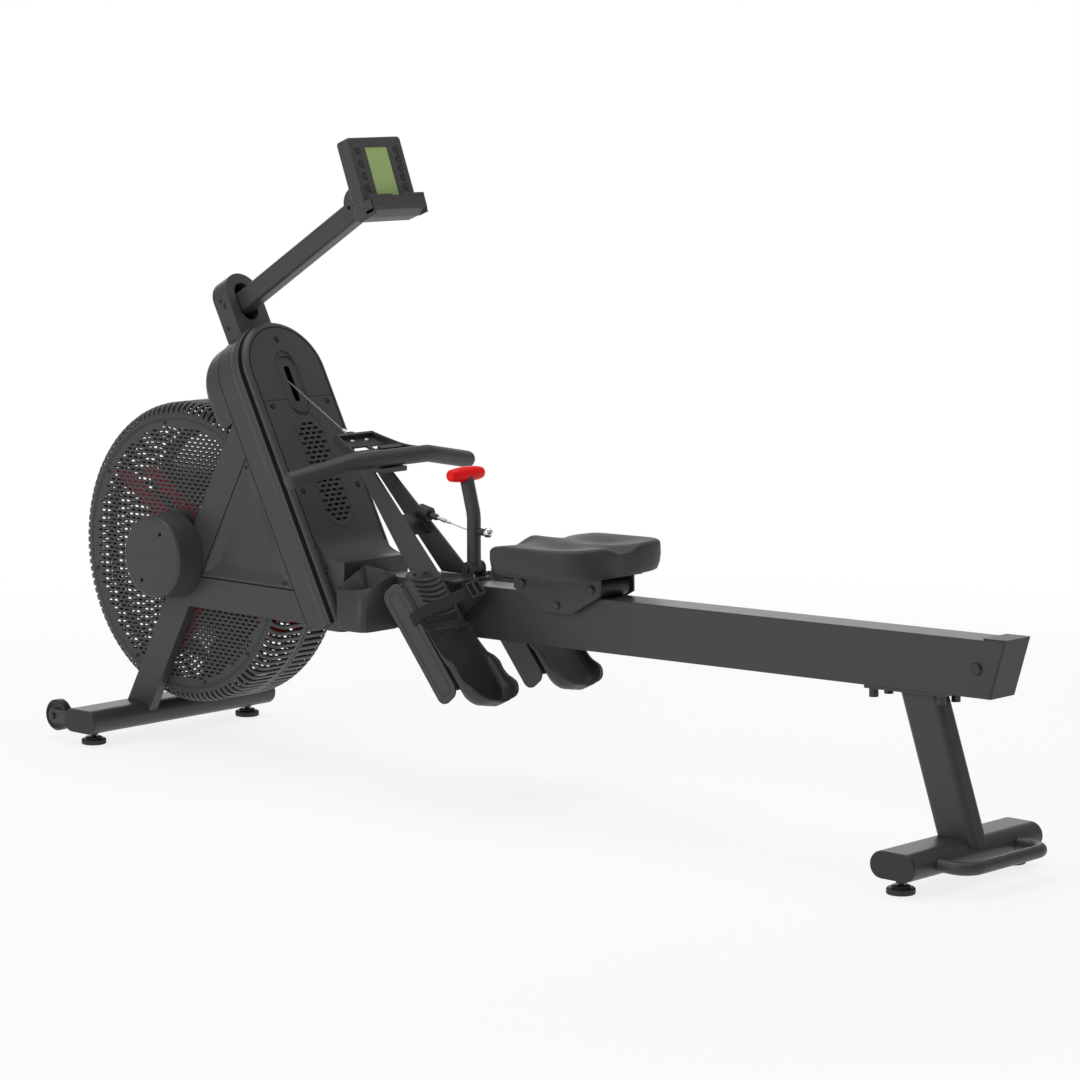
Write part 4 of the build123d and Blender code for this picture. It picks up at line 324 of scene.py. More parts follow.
def loft(rings, closed=True, first=True, last=True):
    """Skin drawn as one ring of edges and extruded from ring to ring, with its ends filled."""
    form = bmesh.new()
    row = [form.verts.new(point) for point in rings[0]]
    rows = [row]
    around = len(row) if closed else len(row) - 1
    edges = [form.edges.new((row[k], row[(k + 1) % len(row)])) for k in range(around)]
    for ring in rings[1:]:
        made = bmesh.ops.extrude_edge_only(form, edges=edges)["geom"]
        fresh = {part for part in made if isinstance(part, bmesh.types.BMVert)}
        row = [next(edge.other_vert(vert) for edge in vert.link_edges
                    if edge.other_vert(vert) in fresh) for vert in row]
        for vert, point in zip(row, ring):
            vert.co = point
        edges = [form.edges.get((row[k], row[(k + 1) % len(row)])) for k in range(around)]
        rows.append(row)
    for wanted, end in ((first, rows[0]), (last, rows[-1])):
        if closed and wanted:
            form.faces.new(end)
    return form, rows


def turned(profile, steps):
    """Form of (radius, along) points spun once round the Z axis, with its ends filled."""
    form = bmesh.new()
    points = [form.verts.new((radius, 0, along)) for radius, along in profile]
    edges = [form.edges.new(pair) for pair in zip(points, points[1:])]
    bmesh.ops.spin(form, geom=points + edges, cent=(0, 0, 0), axis=(0, 0, 1), angle=2 * pi,
                   steps=steps, use_merge=True)
    bmesh.ops.holes_fill(form, edges=form.edges, sides=steps)
    return outward(form)


def lathe(profile, centre, axis="Y", steps=32):
    """Turned form about a line along X, Y or Z through a centre."""
    form = turned(profile, steps)
    line = Vector([float(axis == name) for name in "XYZ"])
    turn = line.to_track_quat("Z", "Y").to_matrix().to_4x4()
    bmesh.ops.transform(form, matrix=Matrix.Translation(centre) @ turn, verts=form.verts)
    return drawn(form)


print("a turned test disc has", len(lathe([(10, 0), (10, 2)], (0, 0, 0))[1]), "faces")

# %% [markdown]
# ## Joining, mirroring and smooth lines
# Small forms that move together are joined into one piece, and the right side is the left one
# mirrored. Curved outlines run through a few measured points; a spline through them follows the
# photographed shape with less work than many short straight lines.

# %% Joining and lines
def joined(*forms):
    """Several (verts, faces) forms as one."""
    verts, faces = [], []
    for more, cells in forms:
        start = len(verts)
        verts += more
        faces += [tuple(start + i for i in cell) for cell in cells]
    return verts, faces


def both_sides(form):
    """A form and its mirror image across the middle plane."""
    verts, faces = form
    twin = [(x, -y, z) for x, y, z in verts], [tuple(reversed(cell)) for cell in faces]
    return joined(form, twin)


def catmull(points, steps):
    """Smooth open line through its points, with even steps between each two."""
    line = []
    ends = [points[0], *points, points[-1]]
    for i in range(len(points) - 1):
        p0, p1, p2, p3 = (Vector(p) for p in ends[i:i + 4])
        for k in range(steps):
            t = k / steps
            line.append(0.5 * (2 * p1 + (p2 - p0) * t + (2 * p0 - 5 * p1 + 4 * p2 - p3) * t * t
                               + (3 * p1 - p0 - 3 * p2 + p3) * t ** 3))
    return line + [Vector(points[-1])]


def ease(low, high, value):
    t = min(max((value - low) / (high - low), 0), 1)
    return t * t * (3 - 2 * t)


def between(stops, value):
    """Straight interpolation through (place, height) stops."""
    for (a, low), (b, high) in zip(stops, stops[1:]):
        if value <= b:
            return low + (high - low) * max(value - a, 0) / (b - a)
    return stops[-1][1]


print("halfway up an ease:", ease(0, 1, 0.5))

# %% [markdown]
# ## Fan cage
# The cage is two moulded halves that meet at a seam band. Each has 120 slots that run from the band
# over the rounded shoulder. Cutting them with booleans would be slow and leave ragged faces, so one
# slot and its rib are drawn, the hole's faces are deleted, and the pitch is spun round the axle.

# %% Cage rims
FAN = (134.0, 404.7)
SLOTS = 120
SHOULDER = [(290 + 27 * cos(radians(t)), 58 + 27 * sin(radians(t)))
            for t in (0, 16, 32, 46, 58, 70, 80, 90)]
RIM = [(317, 0), (317, 9), (317, 12.5), *SHOULDER, (286.5, 85), (286, 84), (284.5, 84), (284, 85),
       (281.4, 85), (281.4, 81)]
SLOT_START, SLOT_END = 1, 9


def slot_pitch(sign):
    """One slot and the rib beside it: the rim's profile swept through one pitch, with a hole cut."""
    marks = [2 * pi * mark / SLOTS for mark in (0.0, 0.26, 0.36, 0.60, 0.70, 1.0)]
    form, rows = loft([[(r * cos(t), sign * y, r * sin(t)) for r, y in RIM] for t in marks], closed=False)
    waste = []
    for mark in (1, 2, 3):
        for ring in range(SLOT_START, SLOT_END):
            a, d = rows[mark][ring:ring + 2]
            b, c = rows[mark + 1][ring:ring + 2]
            face = form.faces.get((a, b, c, d))
            corner = {(SLOT_START, 1): (b, d, c), (SLOT_START, 3): (a, c, d),
                      (SLOT_END - 1, 1): (a, c, b), (SLOT_END - 1, 3): (b, d, a)}.get((ring, mark))
            if corner:
                other = bmesh.utils.face_split(face, corner[0], corner[1])[0]
                face = face if corner[2] in face.verts[:] else other
            waste.append(face)
    bmesh.ops.delete(form, geom=waste, context="FACES")
    return form


def cage_rim(name, node, sign):
    """Slotted half of the cage: one pitch repeated round the fan's axis."""
    form = slot_pitch(sign)
    bmesh.ops.spin(form, geom=form.verts[:] + form.edges[:] + form.faces[:], cent=(0, 0, 0),
                   axis=(0, -1, 0), angle=2 * pi * (SLOTS - 1) / SLOTS, steps=SLOTS - 1,
                   use_duplicate=True)
    bmesh.ops.remove_doubles(form, verts=form.verts, dist=0.01)
    bmesh.ops.translate(form, verts=form.verts, vec=(FAN[0], 0, FAN[1]))
    rim = add_piece(name, *drawn(outward(form)), "shell_plastic", "frame", (node,))
    return thicken(rim, 3.0)


for name, node, sign in (("cage_rim_left", "cage_left", -1), ("cage_rim_right", "cage_right", 1)):
    rim_half = cage_rim(name, node, sign)
    print(name, len(rim_half.data.polygons), "faces")

# %% [markdown]
# ## Grilles
# Each side of the cage is closed by a thin disc with short slots laid like bricks. A filled 2-D
# curve makes every inner loop a hole, which gives a clean pierced plate in one step.

# %% Grilles
BRICK = (17.8, 8.7)
BRICK_SLOT = (12.8, 4.3)


def ring_spline(curve, points):
    spline = curve.splines.new("POLY")
    spline.points.add(len(points) - 1)
    for point, (a, b) in zip(spline.points, points):
        point.co = (a, b, 0, 1)
    spline.use_cyclic_u = True


def disc(radius, steps):
    turns = [2 * pi * k / steps for k in range(steps)]
    return [(radius * cos(t), radius * sin(t)) for t in turns]


def brick_slot(a, b):
    half, cap = BRICK_SLOT[0] / 2, BRICK_SLOT[1] / 2
    corner = 1.4
    return [(a + i * (half - m * corner), b + j * (cap - (1 - m) * corner))
            for i, j, m in ((-1, 1, 1), (1, 1, 1), (1, 1, 0), (1, -1, 0),
                            (1, -1, 1), (-1, -1, 1), (-1, -1, 0), (-1, 1, 0))]


def bricks(keep):
    """Slot centres of a brick pattern about the origin, where a test keeps them."""
    reach = 34
    cells = []
    for row in range(-reach, reach + 1):
        for column in range(-reach, reach + 1):
            a, b = (column + 0.5 * (row % 2)) * BRICK[0], row * BRICK[1]
            if keep(a, b):
                cells.append((a, b))
    return cells


def pierced_plate(name, rims, cells, thickness):
    """Mesh of a flat plate with holes, drawn in its own plane."""
    curve = bpy.data.curves.new(name, "CURVE")
    curve.dimensions = "2D"
    curve.fill_mode = "BOTH"
    curve.extrude = thickness / 2
    for rim in rims:
        ring_spline(curve, rim)
    for a, b in cells:
        ring_spline(curve, brick_slot(a, b))
    holder = bpy.data.objects.new(name, curve)
    mesh = bpy.data.meshes.new_from_object(holder)
    verts = [tuple(v.co) for v in mesh.vertices]
    faces = [tuple(face.vertices) for face in mesh.polygons]
    bpy.data.objects.remove(holder)
    bpy.data.meshes.remove(mesh)
    return verts, faces


grille_cells = bricks(
    lambda a, b: hypot(abs(a) + 6.5, abs(b) + 2.4) < 271 and hypot(a, b) > 90
)
flat, cells = pierced_plate("grille", [disc(281, 120), disc(40, 40)], grille_cells, 3.0)
for name, sign in (("grille_left", -1), ("grille_right", 1)):
    verts = [(FAN[0] + a, sign * (83.5 + c), FAN[1] + b) for a, b, c in flat]
    facing = cells if sign < 0 else [tuple(reversed(cell)) for cell in cells]
    add_piece(name, verts, facing, "shell_plastic", "frame",
              ("cage_grilles",) if sign < 0 else ())
print(len(grille_cells), "grille slots a side")

# %% [markdown]
# ## Seat
# The seat is one block of foam moulded in its own skin: flat flanks, a rounded rim, two shallow
# dishes, a raised nose and a dip at the back. Cloth simulation would add folds that a moulded pad
# doesn't have, so its outline is lofted ring by ring up to a height that a formula gives.

# %% Seat pad
SEAT = (1180.0, 42.3)
PAD_PLAN = [(-125, 0), (-124, -70), (-119, -112), (-104, -136), (-60, -144), (0, -147), (60, -145),
            (96, -132), (116, -98), (123, -50), (121, 0)]
PAD_RIM = [(0.0, 0.93), (2.0, 0.955), (14.0, 0.985), (30.0, 1.0), (44.0, 0.998)]
PAD_EDGE = [(0.0, 0.995), (3.2, 0.987), (5.9, 0.968), (7.6, 0.944), (8.3, 0.915)]


def bell(a, b):
    return exp(-(a * a + b * b))


def pad_top(a, y):
    """Height of the pad's top over its under side."""
    rim = 53.0 + 5.0 * ease(-120, -60, a) + 1.5 * ease(20, 125, a)
    dish = sum(9.0 * bell((a - 18) / 62, (y - s * 58) / 42) for s in (-1, 1))
    nose = 10.0 * bell((a + 128) / 52, y / 30)
    thighs = sum(7.0 * bell((a + 128) / 46, (y - s * 66) / 30) for s in (-1, 1))
    dip = 17.0 * ease(30, 118, a) * bell(0, y / 30)
    return rim - dish + nose - thighs - dip


print("pad height at its middle:", round(pad_top(0, 0), 1), "mm")

# %% Seat pad's skin
half_plan = catmull([(a, y, 0) for a, y in PAD_PLAN], 8)
plan = [(p.x, p.y) for p in half_plan] + [(p.x, -p.y) for p in reversed(half_plan[1:-1])]
pad_rings = [[(SEAT[0] + a * share, y * share, SEAT[1] + height) for a, y in plan]
             for height, share in PAD_RIM]
shares = [share for _, share in PAD_EDGE] + [0.86, 0.78, 0.68, 0.57, 0.46, 0.35, 0.24, 0.12]
lifts = [lift - 8.3 for lift, _ in PAD_EDGE] + [0.0] * 8
pad_rings += [[(SEAT[0] + a * share, y * share, SEAT[1] + pad_top(a * share, y * share) + lift)
               for a, y in plan] for share, lift in zip(shares, lifts)]
form, rows = loft(pad_rings)
crown = form.faces.get(rows[-1])
peak = bmesh.ops.poke(form, faces=[crown])["verts"][0]
peak.co = (SEAT[0], 0, SEAT[1] + pad_top(0, 0))
verts, faces = drawn(outward(form))
seat_pad = add_piece("seat_pad", verts, faces, "seat_foam", "seat", ("seat_cushion",), RAIL, 60)
print("seat pad", len(faces), "faces")

# %% [markdown]
# ## Toe pads
# A rubber pad with curved ribs sits at the top of each footboard, under a small screwed tab. The
# ribs could be bump in the material, but they show on the outline, so a fine grid is lifted to the
# height of a wave.

# %% Toe pads
BOARD_MID = -122.5
TOE = (6.0, 102.0)
TOE_HALF = 44.5


def toe_height(a, y):
    """Pad height over the board: a plateau with curved ribs that falls off at its edges."""
    edge = min(a - TOE[0], TOE[1] - a, TOE_HALF - abs(y))
    body = 13.0 * ease(-0.5, 7.0, edge) * between([(6, 1.0), (70, 1.0), (102, 0.62)], a)
    bowed = a + 0.0052 * y * y
    field = ease(4, 9, a - TOE[0]) * ease(3, 8, TOE[1] - a) * ease(4, 9, TOE_HALF - abs(y))
    wave = ease(0.1, 0.75, 0.5 + 0.5 * sin(2 * pi * (bowed - 15) / 11.5))
    return body + 2.6 * wave * field + 0.3


def toe_pad():
    """Fine grid laid on the board and lifted to the pad's height."""
    form = bmesh.new()
    bmesh.ops.create_grid(form, x_segments=104, y_segments=60, size=1)
    for vert in form.verts:
        a, y = (TOE[0] + TOE[1] + (TOE[1] - TOE[0]) * vert.co.x) / 2, TOE_HALF * vert.co.y
        vert.co = (a, BOARD_MID + y, toe_height(a, y))
    return drawn(form)


print("highest rib:", round(max(v[2] for v in toe_pad()[0]), 1), "mm over the board")


# %% Plates and screw heads
def slab(outline, low, high, edge=1.0):
    """Flat plate: an outline of (a, y) is filled, extruded and chamfered round its top."""
    form = bmesh.new()
    base = form.faces.new([form.verts.new((a, y, low)) for a, y in outline])
    made = bmesh.ops.extrude_face_region(form, geom=[base], use_keep_orig=True)["geom"]
    top = [part for part in made if isinstance(part, bmesh.types.BMFace)]
    bmesh.ops.translate(form, verts=top[0].verts[:], vec=(0, 0, high - low))
    bmesh.ops.bevel(form, geom=top[0].edges[:], offset=edge, offset_type="OFFSET", affect="EDGES",
                    segments=1, profile=0.5, material=-1)
    return drawn(outward(form))


def rounded(half_a, half_y, radius, centre=(0, 0), steps=6):
    """Outline of a rectangle with rounded corners, anticlockwise in (a, y)."""
    points = []
    for turn, (i, j) in enumerate(((1, 1), (-1, 1), (-1, -1), (1, -1))):
        for k in range(steps + 1):
            angle = pi / 2 * (turn + k / steps)
            points.append((centre[0] + i * (half_a - radius) + radius * cos(angle),
                           centre[1] + j * (half_y - radius) + radius * sin(angle)))
    return points


def dome(radius, height, place, normal, steps=14):
    """Round screw head with a socket, turned and set at a place along a direction."""
    profile = [(radius, 0), (radius, height * 0.45), (radius * 0.86, height * 0.8),
               (radius * 0.6, height), (radius * 0.44, height), (radius * 0.4, height * 0.35),
               (0.01, height * 0.35)]
    form = turned(profile, steps)
    turn = Vector(normal).to_track_quat("Z", "Y").to_matrix().to_4x4()
    bmesh.ops.transform(form, matrix=Matrix.Translation(place) @ turn, verts=form.verts)
    return drawn(form)


print("a screw head has", len(dome(4, 2, (0, 0, 0), (0, 0, 1))[1]), "faces")

# %% Toe pads in place
tab = slab(rounded(15, 34, 10, (4, BOARD_MID)), 0.4, 7.5, 2.0)
add_piece("toe_pad_ribs", *both_sides(joined(toe_pad(), tab)), "rubber_black", "frame",
          ("toe_pads",), BOARD, 50)
pegs = [dome(4.2, 2.5, (-3, BOARD_MID + s * 15, 7.5), (0, 0, 1)) for s in (-1, 1)]
pegs += [dome(3.4, 2.0, (14, BOARD_MID + s * 54, 0.2), (0, 0, 1)) for s in (-1, 1)]
add_piece("board_screws", *both_sides(joined(*pegs)), "black_plastic", "frame", (), BOARD)
print("toe pads with", 2 * len(pegs), "screws")

# %% [markdown]
# ## Heel cups
# Each heel cup slides on its board: a sole with a wall that rises in waves round the heel. Its open
# side is drawn as a line, a section is lofted along it, and Solidify gives the moulded wall.

# %% Heel cups
CUP_HALF = 56.5
CUP = (118.0, 302.0)
CUP_CORNER = 38.0
CUP_RISE = [(118, 5), (165, 7), (190, 11), (206, 22), (222, 27), (240, 25), (256, 28), (276, 40), (302, 45)]


def cup_line():
    """Points round the cup's open side: (a, y) and the outward direction, inner side first."""
    line = []
    for k in range(25):
        line.append((CUP[0] + (CUP[1] - CUP_CORNER - CUP[0]) * k / 24, CUP_HALF, 0, 1))
    for k in range(1, 13):
        angle = pi / 2 * k / 12
        line.append((CUP[1] - CUP_CORNER + CUP_CORNER * sin(angle),
                     CUP_HALF - CUP_CORNER + CUP_CORNER * cos(angle), sin(angle), cos(angle)))
    for k in range(1, 9):
        line.append((CUP[1] + 4 * sin(pi * k / 16), (CUP_HALF - CUP_CORNER) * (1 - k / 8), 1, 0))
    return line + [(a, -y, da, -dy) for a, y, da, dy in reversed(line[:-1])]


def heel_cup():
    """Skin lofted along the cup's open side, from its sole out and up to the wavy lip."""
    rings = []
    for a, y, da, dy in cup_line():
        rise = between(CUP_RISE, a)
        lean = 0.10 + 0.10 * ease(190, 280, a)
        reach = 0.5 * (1 - abs(dy)) + 0.5
        ring = [(min(a, CUP[1] - 40) if da else a, y * 0.55 if da == 0 else y * 0.45, 4.6),
                (a - da * 9, y - dy * 9, 4.6)]
        for share in (0, 0.12, 0.3, 0.55, 0.8, 1.0):
            out = lean * rise * share * reach - 5.5 * (1 - ease(0, 0.35, share))
            lift = 5.4 + (rise - 5.4) * share if rise > 6 else 5.4 + share
            ring.append((a + da * out, y + dy * out, lift))
        rings.append([(a, BOARD_MID + y, b) for a, y, b in ring])
    form, rows = loft(rings, closed=False)
    form.faces.new([row[0] for row in rows])
    return drawn(outward(form, flip=True))


cup_verts, cup_faces = heel_cup()
for name, node, body, sign in (("heel_shell_left", "heel_cup_left", "heel_left", 1),
                               ("heel_shell_right", "heel_cup_right", "heel_right", -1)):
    verts = [(a, sign * y, b) for a, y, b in cup_verts]
    cells = cup_faces if sign > 0 else [tuple(reversed(cell)) for cell in cup_faces]
    shell = add_piece(name, verts, cells, "black_plastic", body, (node,), BOARD, 50)
    thicken(shell, 3.6, inward=True)
    pegs = [dome(4.2, 1.6, (130, sign * (BOARD_MID + s * 24), 5.0), (0, 0, 1)) for s in (-1, 1)]
    add_piece(name.replace("shell", "screws"), *joined(*pegs), "black_plastic", body, (), BOARD)
    print(name, len(cells), "faces")

# %% [markdown]
# ## Straps and buckles
# A webbing band runs from slot to slot over each board and through a moulded buckle. It hangs
# tight, so a line through measured points is lofted across the band's width and given a thickness.

# %% Straps
STRAP = [(-185.0, -14.0), (-185.2, 2.0), (-178.0, 14.0), (-160.0, 27.0), (-138.0, 42.0), (-112.0, 59.0),
         (-84.0, 77.0), (-66.0, 82.0), (-54.5, 70.0), (-56.0, 36.0), (-60.2, 8.0), (-60.4, -14.0)]
band_line = catmull([(y, b, 0) for y, b in STRAP], 8)
form, _ = loft([[(a, p.x, p.y) for a in (74.0, 75.5, 96.5, 98.0)] for p in band_line], closed=False)
verts, faces = drawn(outward(form))
strap = add_piece("foot_bands", *both_sides((verts, faces)), "strap_fabric", "frame", ("foot_straps",),
                  BOARD, 50)
thicken(strap, 2.4).modifiers["wall"].offset = 0
band_length = sum((q - p).length for p, q in zip(band_line, band_line[1:]))
print("strap", round(band_length), "mm from slot to slot")

# %% Boxes and sections
def box_form(lows, highs):
    """Plain box between two corners."""
    form = bmesh.new()
    low, high = Vector(lows), Vector(highs)
    size = Matrix.Diagonal((*(high - low), 1.0))
    bmesh.ops.create_cube(form, size=1.0, matrix=Matrix.Translation((low + high) / 2) @ size)
    return drawn(form)


def prism(section, half):
    """Section of (n, u) points filled and extruded across the middle plane."""
    form = bmesh.new()
    side = form.faces.new([form.verts.new((n, -half, u)) for n, u in section])
    made = bmesh.ops.extrude_face_region(form, geom=[side], use_keep_orig=True)["geom"]
    moved = [part for part in made if isinstance(part, bmesh.types.BMVert)]
    bmesh.ops.translate(form, verts=moved, vec=(0, 2 * half, 0))
    return drawn(outward(form))


print("a unit box has", len(box_form((0, 0, 0), (1, 1, 1))[1]), "faces")


# %% Buckles
def leaned(form, place, angle):
    """A form drawn about the origin, turned across the board and moved to a place."""
    c, s = cos(radians(angle)), sin(radians(angle))
    verts = [(place[0] + a, place[1] + y * c - b * s, place[2] + y * s + b * c) for a, y, b in form[0]]
    return verts, form[1]


buckle_bars = [((-17, -15, 1.4), (-13, 15, 6.4)), ((13, -15, 1.4), (17, 15, 6.4)),
               ((-17, -15, 1.4), (17, -11, 5.4)), ((-17, 11, 1.4), (17, 15, 5.4)),
               ((-13, -2.5, 2.0), (13, 2.5, 6.6))]
buckle = leaned(joined(*[box_form(*bar) for bar in buckle_bars]), (86.0, -83.0, 77.6), 27)
add_piece("buckles", *both_sides(buckle), "black_plastic", "frame", (), BOARD)
print("buckles of", len(buckle_bars), "bars")

# %% [markdown]
# ## Tubes
# The bar, the cables and the fine beads round the panel are all round in section. A bevelled curve
# would do, but here each point has its own radius and the ends are closed, so rings are set square
# to the line and lofted.

# %% Tubes
def tube(points, radii, steps=20):
    """Round tube through points, with one radius for each, closed at both ends."""
    points = [Vector(p) for p in points]
    rings = []
    side = None
    for k, point in enumerate(points):
        ahead = points[min(k + 1, len(points) - 1)] - points[max(k - 1, 0)]
        ahead.normalize()
        side = ahead.orthogonal() if side is None else side - ahead * side.dot(ahead)
        side.normalize()
        up = ahead.cross(side)
        turns = [2 * pi * j / steps for j in range(steps)]
        rings.append([point + (side * cos(t) + up * sin(t)) * radii[k] for t in turns])
    return drawn(outward(loft(rings)[0]))


def bent(points, radius, steps=8):
    """A line of straight runs with rounded corners."""
    points = [Vector(p) for p in points]
    line = [points[0]]
    for before, corner, after in zip(points, points[1:], points[2:]):
        back, on = (before - corner).normalized(), (after - corner).normalized()
        reach = radius / tan(back.angle(on) / 2)
        start, end = corner + back * reach, corner + on * reach
        for k in range(steps + 1):
            t = k / steps
            line.append(start * (1 - t) ** 2 + corner * (2 * t * (1 - t)) + end * t * t)
    return line + [points[-1]]


print("a bent test line has", len(bent([(0, 0, 0), (50, 0, 0), (50, 50, 0)], 10)), "points")

# %% [markdown]
# ## Handle
# The rower pulls a bent steel bar in a rubber sleeve with rounded ends. A yoke with two cheeks holds
# it, and the yoke's clip takes the cable.

# %% Handle bar
BAR_R = 17.5
line = bent([(640, -260, 613), (668, -108, 641), (668, 108, 641), (640, 260, 613)], 60)
caps = [(0.3, 0.62), (1.4, 0.78), (4.0, 0.92), (8.0, 0.985), (13.0, 1.0)]
ends = [(line[0] - line[1]).normalized(), (line[-1] - line[-2]).normalized()]
path_points = [line[0] - ends[0] * d for d, _ in caps] + line[1:-1] + [
    line[-1] - ends[1] * d for d, _ in reversed(caps)]
radii = [BAR_R * s for _, s in caps] + [BAR_R] * (len(line) - 2) + [BAR_R * s for _, s in reversed(caps)]
add_piece("bar_sleeve", *tube(path_points, radii, 32), "rubber_black", "handle", ("handle_bar",),
          angle=50)
print("bar sleeve", len(path_points), "rings")

# %% Yoke
YOKE = side_plane(668.0, 641.0, -18.435)
YOKE_FRONT = -112.0


def cheek(sign):
    """Side of the yoke: a thin wall from the bar to the front, taller at the bar."""
    line = catmull([(-8, 86, 0), (-24, 83, 0), (-60, 68, 0), (YOKE_FRONT, 53, 0)], 8)
    rings = []
    for k, p in enumerate(line):
        share = k / (len(line) - 1)
        high = 15 - 7 * ease(0, 0.6, share)
        low = -15 + 4 * share
        rings.append([(p.x, sign * y, b) for y, b in (
            (p.y, low), (p.y, high - 2), (p.y - 2, high), (p.y - 5, high), (p.y - 7, high - 2),
            (p.y - 7, low))])
    return drawn(outward(loft(rings)[0]))


yoke_forms = [
    cheek(1), cheek(-1),
    box_form((YOKE_FRONT, -53, -11), (YOKE_FRONT + 8, 53, 8)),
    box_form((YOKE_FRONT + 8, -47, -6), (YOKE_FRONT + 44, 47, -2)),
    box_form((-42, -66, -6), (-34, 66, 2)),
    box_form((-68, -4, -6), (-42, 4, -1)),
    box_form((-33, -8, 7), (-20, 52, 13)),
    box_form((YOKE_FRONT - 12, -9, -7), (YOKE_FRONT, 9, 5)),
]
add_piece("yoke", *joined(*yoke_forms), "black_plastic", "handle", ("handle_bracket",), YOKE)
yoke_bolts = [dome(5.5, 4.0, (-92, y, -2), (0, 0, 1)) for y in (-20, 20)]
add_piece("yoke_bolts", *joined(*yoke_bolts), "steel", "handle", (), YOKE)
clip_steps = [(-142, 3.2), (-141, 4.6), (-130, 4.8), (-129, 6.4), (-122, 6.4)]
clip = tube([(a, 0, 0) for a, _ in clip_steps], [r for _, r in clip_steps], 16)
add_piece("cable_clip", *clip, "chrome", "handle", (), YOKE, slot="steel")
print("yoke of", len(yoke_forms), "forms")

# %% [markdown]
# ## Pull cable
# A steel rope runs from the drum, over the guide pulley and through the slot to the clip. In use it
# follows the handle; here its free run is divided finely and the rope rides on no body.

# %% Pull cable
DRUM_EXIT, PULLEY_IN = (105.4, 0, 419.0), (287.8, 0, 784.1)
PULLEY_TOP, PULLEY_OUT = (310.0, 0, 801.2), (332.0, 0, 797.8)
CLIP_END = (533.0, 0, 686.0)
over = catmull([PULLEY_IN, (297.0, 0, 795.2), PULLEY_TOP, (321.6, 0, 801.4), PULLEY_OUT], 5)
run = [Vector(PULLEY_OUT).lerp(Vector(CLIP_END), k / 24) for k in range(1, 25)]
cable_points = [DRUM_EXIT, *over, *run]
cable = add_piece("cable", *tube(cable_points, [2.0] * len(cable_points), 10), "steel_dark", None,
                  ("pull_cable",), angle=50, slot="steel")
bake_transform(cable)
print("cable run", round((Vector(CLIP_END) - Vector(PULLEY_OUT)).length), "mm from pulley to clip")

# %% [markdown]
# ## Resistance lever
# The red grip tapers from its middle to rounded ends, and a chromed ball sits at the lever's back.
# Both are turned shapes, so a profile is spun for each.

# %% Lever
grip = [(0.5, -46), (8.5, -46), (11.0, -44.5), (12.2, -41), (14.0, -30), (15.3, -14), (15.5, 0),
        (15.3, 14), (14.0, 30), (12.2, 41), (11.0, 44.5), (8.5, 46), (0.5, 46)]
add_piece("grip", *lathe(grip, (850.0, 30.0, 620.0)), "grip_red", "lever", ("lever_grip",), angle=50)
ball = [(max(10.3 * sin(pi * k / 16), 0.05), -10.3 * cos(pi * k / 16)) for k in range(17)]
add_piece("lever_ball", *lathe(ball, (910.0, 30.0, 508.0), "X"), "chrome", "lever", (), angle=60,
          slot="steel")
collar = [(5.9, 14.2), (7.4, 14.2), (7.4, 24.0), (6.4, 26.5), (6.2, 30.0)]
add_piece("ball_collar", *lathe(collar, (872.0, 30.0, 508.0), "X", 20), "rubber_black", "lever", ())
print("grip", grip[-1][1] - grip[0][1], "mm wide")

# %% [markdown]
# ## Brake cable
# The lever pulls a short cable through a threaded adjuster. One tube with stepped radii gives the nuts
# and cable and rides on no body; separate tubes give the barrel and its sleeve.

# %% Brake cable
ROD_START, ROD_END = Vector((735.0, 20.0, 537.0)), Vector((857.1, 30.0, 508.0))
rod_run = (ROD_END - ROD_START).normalized()
rod_steps = [(22.0, 5.4), (40.0, 5.4), (40.3, 3.6), (56.0, 3.6), (56.3, 4.3), (66.0, 4.3), (66.3, 2.6),
             (78.0, 2.6), (78.3, 1.3), (100.0, 1.3), ((ROD_END - ROD_START).length, 1.3)]
rod = tube([ROD_START + rod_run * d for d, _ in rod_steps], [r for _, r in rod_steps], 16)
adjuster = add_piece("adjuster_rod", *rod, "steel", None, ("brake_cable",))
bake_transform(adjuster)
barrel = tube([ROD_START + rod_run * d for d in (-3, -2, 24, 26)], [13.5, 15, 15, 13.5], 24)
add_piece("adjuster_barrel", *barrel, "black_plastic", "frame", ())
sleeve = tube([ROD_START + rod_run * d for d in (26, 42, 44)], [6.6, 6.6, 5.6], 16)
add_piece("adjuster_sleeve", *sleeve, "rubber_black", "frame", ())
print("brake cable", round((ROD_END - ROD_START).length), "mm")

# %% [markdown]
# ## Console
# The case carries a thin fascia round the screen, an outline round each of nine keys, and a ledge
# with a notched lip and a closed chin below. The fascia is a pierced plate like the grilles, and the
# outlines are real rings, so that they stay sharp in close views.

# %% Console face
KEYS = [(-53, 43 - k * 26) for k in range(4)] + [(53, 43 - k * 19.5) for k in range(5)]


def ring_form(radius, wide, place, tail):
    """Flat ring with a short tail, drawn on the console face."""
    y0, u0 = place
    circles = [[(0.5, y0 + a, u0 + b) for a, b in disc(r, 24)] for r in (radius, radius + wide)]
    form, _ = loft(circles, first=False, last=False)
    corners = ((radius * 0.55, -radius * 0.85), (radius * 0.55 + wide, -radius * 0.85),
               (tail + wide, -radius - 9), (tail, -radius - 9))
    form.faces.new([form.verts.new((0.5, y0 + y, u0 + u)) for y, u in corners])
    for face in form.faces:
        face.normal_update()
        if face.normal.x < 0:
            face.normal_flip()
    return drawn(form)


